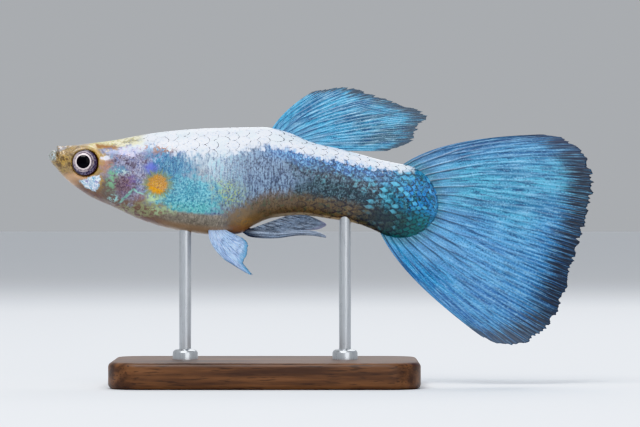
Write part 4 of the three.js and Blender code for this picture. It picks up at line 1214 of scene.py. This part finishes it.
dorsal_material, dorsal_tree, dorsal_group = fin_material(
    "back_fin", DORSAL_COLOURS,
    margin_from=0.91, body_alpha=0.98, margin_alpha=0.82, ray_alpha=0.95, streaks=9)
dorsal_ground = shade(*DORSAL_COLOURS["Ground"])
for ground_tint, where in DORSAL_PATCHES.values():
    dorsal_ground = paint(dorsal_tree, dorsal_ground, shade(*ground_tint), fin_patch(dorsal_tree, *where))
dorsal_tree.links.new(dorsal_ground, dorsal_group.inputs["Ground"])
dorsal_surface, dorsal_facing = tipped_surface(DORSAL_TIPS, (-4.85, 4.0), (-1.3, 2.75), 62, -9, 0.42)
dorsal = fin_piece(
    "back_fin", dorsal_surface, dorsal_facing, rays=11, columns=16, rows=90, fringe=0.035,
    material=dorsal_material, seed=12)
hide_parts("dorsal_fin")

PELVIC_TIPS = [(-8.75, -7.7), (-6.42, -9.06), (-7.2, -8.0), (-6.85, -7.15), (-6.8, -6.15), (-7.25, -5.6)]
PELVIC = {"side": 0.95, "splay": 14}
pelvic_material = fin_material(
    "belly_fin",
    {"Ground": (136, 166, 208), "Streak": (172, 202, 232), "Shadow": (76, 98, 144), "Ray": (224, 236, 248),
     "Root Ray": (214, 220, 236), "Margin": (96, 156, 196)},
    margin_from=0.92, body_alpha=0.93, margin_alpha=0.8, ray_alpha=0.95, streaks=6)[0]
for label, side in (("left", -1), ("right", 1)):
    surface, facing = tipped_surface(
        PELVIC_TIPS, (-10.35, -4.75), (-9.0, -4.7), -94, -30, 0.45,
        side=side * PELVIC["side"], splay=side * PELVIC["splay"])
    pelvic = fin_piece(
        f"belly_fin_{label}", surface, facing, rays=6, columns=16, rows=60, fringe=0.03,
        material=pelvic_material, seed=13)
    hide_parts(f"pelvic_fin_{label}")

ANAL_TIPS = [
    (-4.8, -5.5), (-3.7, -5.15), (-1.9, -4.85), (-0.5, -4.8), (0.3, -4.5), (0.35, -4.25), (-0.44, -3.85),
]
anal_material = fin_material(
    "anal_fin",
    {"Ground": (70, 84, 104), "Streak": (136, 156, 182), "Shadow": (26, 30, 40), "Ray": (192, 206, 224),
     "Root Ray": (44, 44, 54), "Margin": (128, 130, 158)},
    margin_from=0.93, body_alpha=0.95, margin_alpha=0.8, ray_alpha=0.95, streaks=7)[0]
anal_surface, anal_facing = tipped_surface(ANAL_TIPS, (-6.7, -4.75), (-2.3, -3.2), -24, -12, 0.4)
anal = fin_piece(
    "anal_fin_membrane", anal_surface, anal_facing, rays=9, columns=14, rows=50, fringe=0.02,
    material=anal_material, seed=14)
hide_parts("anal_fin")


# Gonopodium
# The male's rod-like front anal rays, drawn together and hooked at the tip, dusky with pale streaks.
# Its root is sunk in the belly. Each row: x, height, half height, half thickness
GONOPODIUM = np.array([
    (-7.3, -4.75, 0.3, 0.26), (-6.6, -5.05, 0.4, 0.32), (-5.2, -5.18, 0.42, 0.32), (-3.87, -5.2, 0.36, 0.3),
    (-2.4, -5.08, 0.27, 0.26), (-1.1, -5.1, 0.24, 0.24), (-0.3, -5.24, 0.2, 0.2), (0.32, -5.45, 0.1, 0.1),
])
ROD = {"steps": 90, "around": 72, "grooves": 9, "groove_depth": 0.14}

rod_t = np.linspace(0, 1, ROD["steps"])
rod_places = np.linspace(0, 1, len(GONOPODIUM))
rod_x, rod_height, rod_high, rod_thick = (
    between(rod_places, GONOPODIUM[:, k], rod_t)[:, None] for k in range(4))
rod_turn = 2 * math.pi * np.arange(ROD["around"])[None, :] / ROD["around"]
groove_wave = 0.5 + 0.5 * np.cos(ROD["grooves"] * rod_turn)
rod_groove = 1 - ROD["groove_depth"] * groove_wave * smooth(rod_t, 0.1, 0.3)[:, None]
rod_points = np.stack([
    rod_x + 0 * rod_turn,
    rod_thick * rod_groove * np.cos(rod_turn),
    AXIS_HEIGHT + rod_height + rod_high * rod_groove * np.sin(rod_turn),
], axis=-1)
rod_faces = ring_faces(ROD["steps"], ROD["around"])
rod = make_piece("gonopodium_rod", rod_points.reshape(-1, 3), rod_faces, anal_material)
turn_outward(rod)
rod_facts = np.stack([
    rod_turn / (2 * math.pi) + 0 * rod_x,
    rod_t[:, None] * 0.9 + 0 * rod_turn,
    np.clip((rod_groove - 1 + ROD["groove_depth"]) / ROD["groove_depth"], 0, 1),
], axis=-1)
give_attribute(rod, "ray", rod_facts.reshape(-1, 3))
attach(rod, "root")
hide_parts("gonopodium")


# Side fins
# Nearly clear fans on short stalks low on the flanks behind the gill covers, spread back, up and out.
PECTORAL = {
    "rays": 13, "base": (-16.1, -0.3), "side": 2.55, "reach": 4.9, "spread": 27, "root_spread": 0.3,
    "outward": 30, "upward": 8, "edge_drop": 0.3, "edge_power": 2.2,
}

pectoral_material = fin_material(
    "side_fin",
    {"Ground": (118, 152, 178), "Streak": (136, 172, 196), "Shadow": (86, 118, 146), "Ray": (150, 196, 220),
     "Root Ray": (150, 144, 116), "Margin": (140, 170, 190)},
    margin_from=0.95, body_alpha=0.04, margin_alpha=0.04, ray_alpha=0.2, streaks=9)[0]


def pectoral_surface(side):
    """The middle of one side fin and its facing. Side is -1 on the left."""
    p = PECTORAL
    out = math.radians(p["outward"])
    back = Vector((math.cos(out), side * math.sin(out), math.sin(math.radians(p["upward"])))).normalized()
    facing = Vector((0, 0, 1)).cross(back).normalized()
    up = back.cross(facing)
    base = np.array((p["base"][0], side * p["side"], AXIS_HEIGHT + p["base"][1]))

    def surface(u, v):
        turn = 1 - 2 * u
        angle = math.radians(p["spread"]) * turn
        reach = p["reach"] * (1 - p["edge_drop"] * np.abs(turn) ** p["edge_power"]) * v
        across = turn * p["root_spread"] + reach * np.sin(angle)
        return base + (reach * np.cos(angle))[..., None] * np.array(back) + across[..., None] * np.array(up)

    return surface, tuple(facing)


for label, side in (("left", -1), ("right", 1)):
    surface, facing = pectoral_surface(side)
    pectoral = fin_piece(
        f"side_fin_{label}", surface, facing, PECTORAL["rays"], columns=10, rows=50, fringe=0.02,
        material=pectoral_material, seed=15)
    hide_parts(f"pectoral_fin_{label}")


# Stand
# A plate of dark oiled wood with eased edges, and two brushed steel rods set in it with low collars.
# The rods reach up into the belly and the tail stalk, which they hold.
STAND = {
    "length": 28.0, "depth": 18.0, "thickness": 2.4, "corner": 3.0, "ease": 0.45, "middle_x": -5.2,
    "corner_steps": 16, "ease_steps": 6,
    "rod_radius": 0.55, "rod_x": (-12.5, 2.05), "collar_radius": 1.15, "collar_height": 0.9, "rod_around": 48,
}

wood_material, wood_tree, wood_shader = make_material("oiled_wood", Coat_Weight=0.15, Coat_Roughness=0.3)
wood_place = add(wood_tree, "ShaderNodeTexCoord", out=3)
wood_long = add(wood_tree, "ShaderNodeVectorMath", wood_place, (60.0, 900.0, 900.0), operation="MULTIPLY")
wood_grain = add(wood_tree, "ShaderNodeTexNoise", wood_long, None, 1.0, 5.0, 0.6)
wood_fine = add(wood_tree, "ShaderNodeVectorMath", wood_place, (500.0, 6000.0, 6000.0), operation="MULTIPLY")
wood_pores = add(wood_tree, "ShaderNodeTexNoise", wood_fine, None, 1.0, 2.0)
wood_figure = step_up(wood_tree, wood_grain, 0.36, 0.64)
wood_colour = paint(wood_tree, shade(62, 38, 24), shade(112, 74, 46), wood_figure)
pore_mask = number(wood_tree, "MULTIPLY", step_up(wood_tree, wood_pores, 0.44, 0.34), 0.7)
wood_colour = paint(wood_tree, wood_colour, shade(36, 22, 15), pore_mask)
wood_rough = number(wood_tree, "MULTIPLY_ADD", wood_pores, 0.2, 0.38)
pore_relief = add(wood_tree, "ShaderNodeBump", 0.3, 0.00004, None, wood_pores)
wood_tree.links.new(wood_colour, wood_shader.inputs["Base Color"])
wood_tree.links.new(wood_rough, wood_shader.inputs["Roughness"])
wood_tree.links.new(pore_relief, wood_shader.inputs["Normal"])


def plate_ring(inset, height):
    """A rounded rectangle of the plate's outline, drawn in by an inset, at a height."""
    ring = []
    radius = STAND["corner"] - inset
    for corner, (sx, sy) in enumerate(((1, -1), (1, 1), (-1, 1), (-1, -1))):
        for step in range(STAND["corner_steps"] + 1):
            turn = math.radians(90 * corner - 90 + 90 * step / STAND["corner_steps"])
            ring.append((
                STAND["middle_x"] + sx * (STAND["length"] / 2 - STAND["corner"]) + radius * math.cos(turn),
                sy * (STAND["depth"] / 2 - STAND["corner"]) + radius * math.sin(turn),
                height,
            ))
    return ring


ease_turns = [math.radians(90 * step / STAND["ease_steps"]) for step in range(STAND["ease_steps"] + 1)]
plate_rings = []
for turn in ease_turns:
    drawn_in = STAND["ease"] * (1 - math.sin(turn))
    plate_rings.append(plate_ring(drawn_in, STAND["ease"] * (1 - math.cos(turn))))
for turn in ease_turns:
    drawn_in = STAND["ease"] * (1 - math.cos(turn))
    plate_rings.append(plate_ring(drawn_in, STAND["thickness"] - STAND["ease"] * (1 - math.sin(turn))))
plate_faces = ring_faces(len(plate_rings), len(plate_rings[0]))
plate = make_piece("wood_plate", np.array(plate_rings).reshape(-1, 3), plate_faces, wood_material)
plate.data.set_sharp_from_angle(angle=math.radians(50))
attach(plate, "root")
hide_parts("stand_base")

steel_material, steel_tree, steel_shader = make_material("brushed_steel", Metallic=1.0)
steel_place = add(steel_tree, "ShaderNodeTexCoord", out=3)
steel_long = add(
    steel_tree, "ShaderNodeVectorMath", steel_place, (9000.0, 9000.0, 500.0), operation="MULTIPLY")
steel_brush = add(steel_tree, "ShaderNodeTexNoise", steel_long, None, 1.0, 3.0)
steel_colour = paint(steel_tree, shade(176, 180, 184), shade(206, 209, 212), steel_brush)
steel_rough = number(steel_tree, "MULTIPLY_ADD", steel_brush, 0.2, 0.2)
steel_tree.links.new(steel_colour, steel_shader.inputs["Base Color"])
steel_tree.links.new(steel_rough, steel_shader.inputs["Roughness"])

for label, x, top_height in (("front", STAND["rod_x"][0], -4.3), ("rear", STAND["rod_x"][1], -3.6)):
    foot = STAND["thickness"] - 0.1
    collar_top = STAND["thickness"] + STAND["collar_height"]
    profile = [
        (STAND["collar_radius"], foot), (STAND["collar_radius"], collar_top - 0.3),
        (STAND["collar_radius"] - 0.08, collar_top - 0.12), (STAND["collar_radius"] - 0.25, collar_top),
        (STAND["rod_radius"] + 0.08, collar_top), (STAND["rod_radius"], collar_top + 0.08),
        (STAND["rod_radius"], AXIS_HEIGHT + top_height),
    ]
    turn = 2 * math.pi * np.arange(STAND["rod_around"]) / STAND["rod_around"]
    rings = [[(x + r * math.cos(t), r * math.sin(t), z) for t in turn] for r, z in profile]
    rod_faces = ring_faces(len(profile), STAND["rod_around"])
    steel_rod = make_piece(f"steel_rod_{label}", np.array(rings).reshape(-1, 3), rod_faces, steel_material)
    steel_rod.data.set_sharp_from_angle(angle=math.radians(40))
    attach(steel_rod, "root")
    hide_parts(f"stand_rod_{label}")
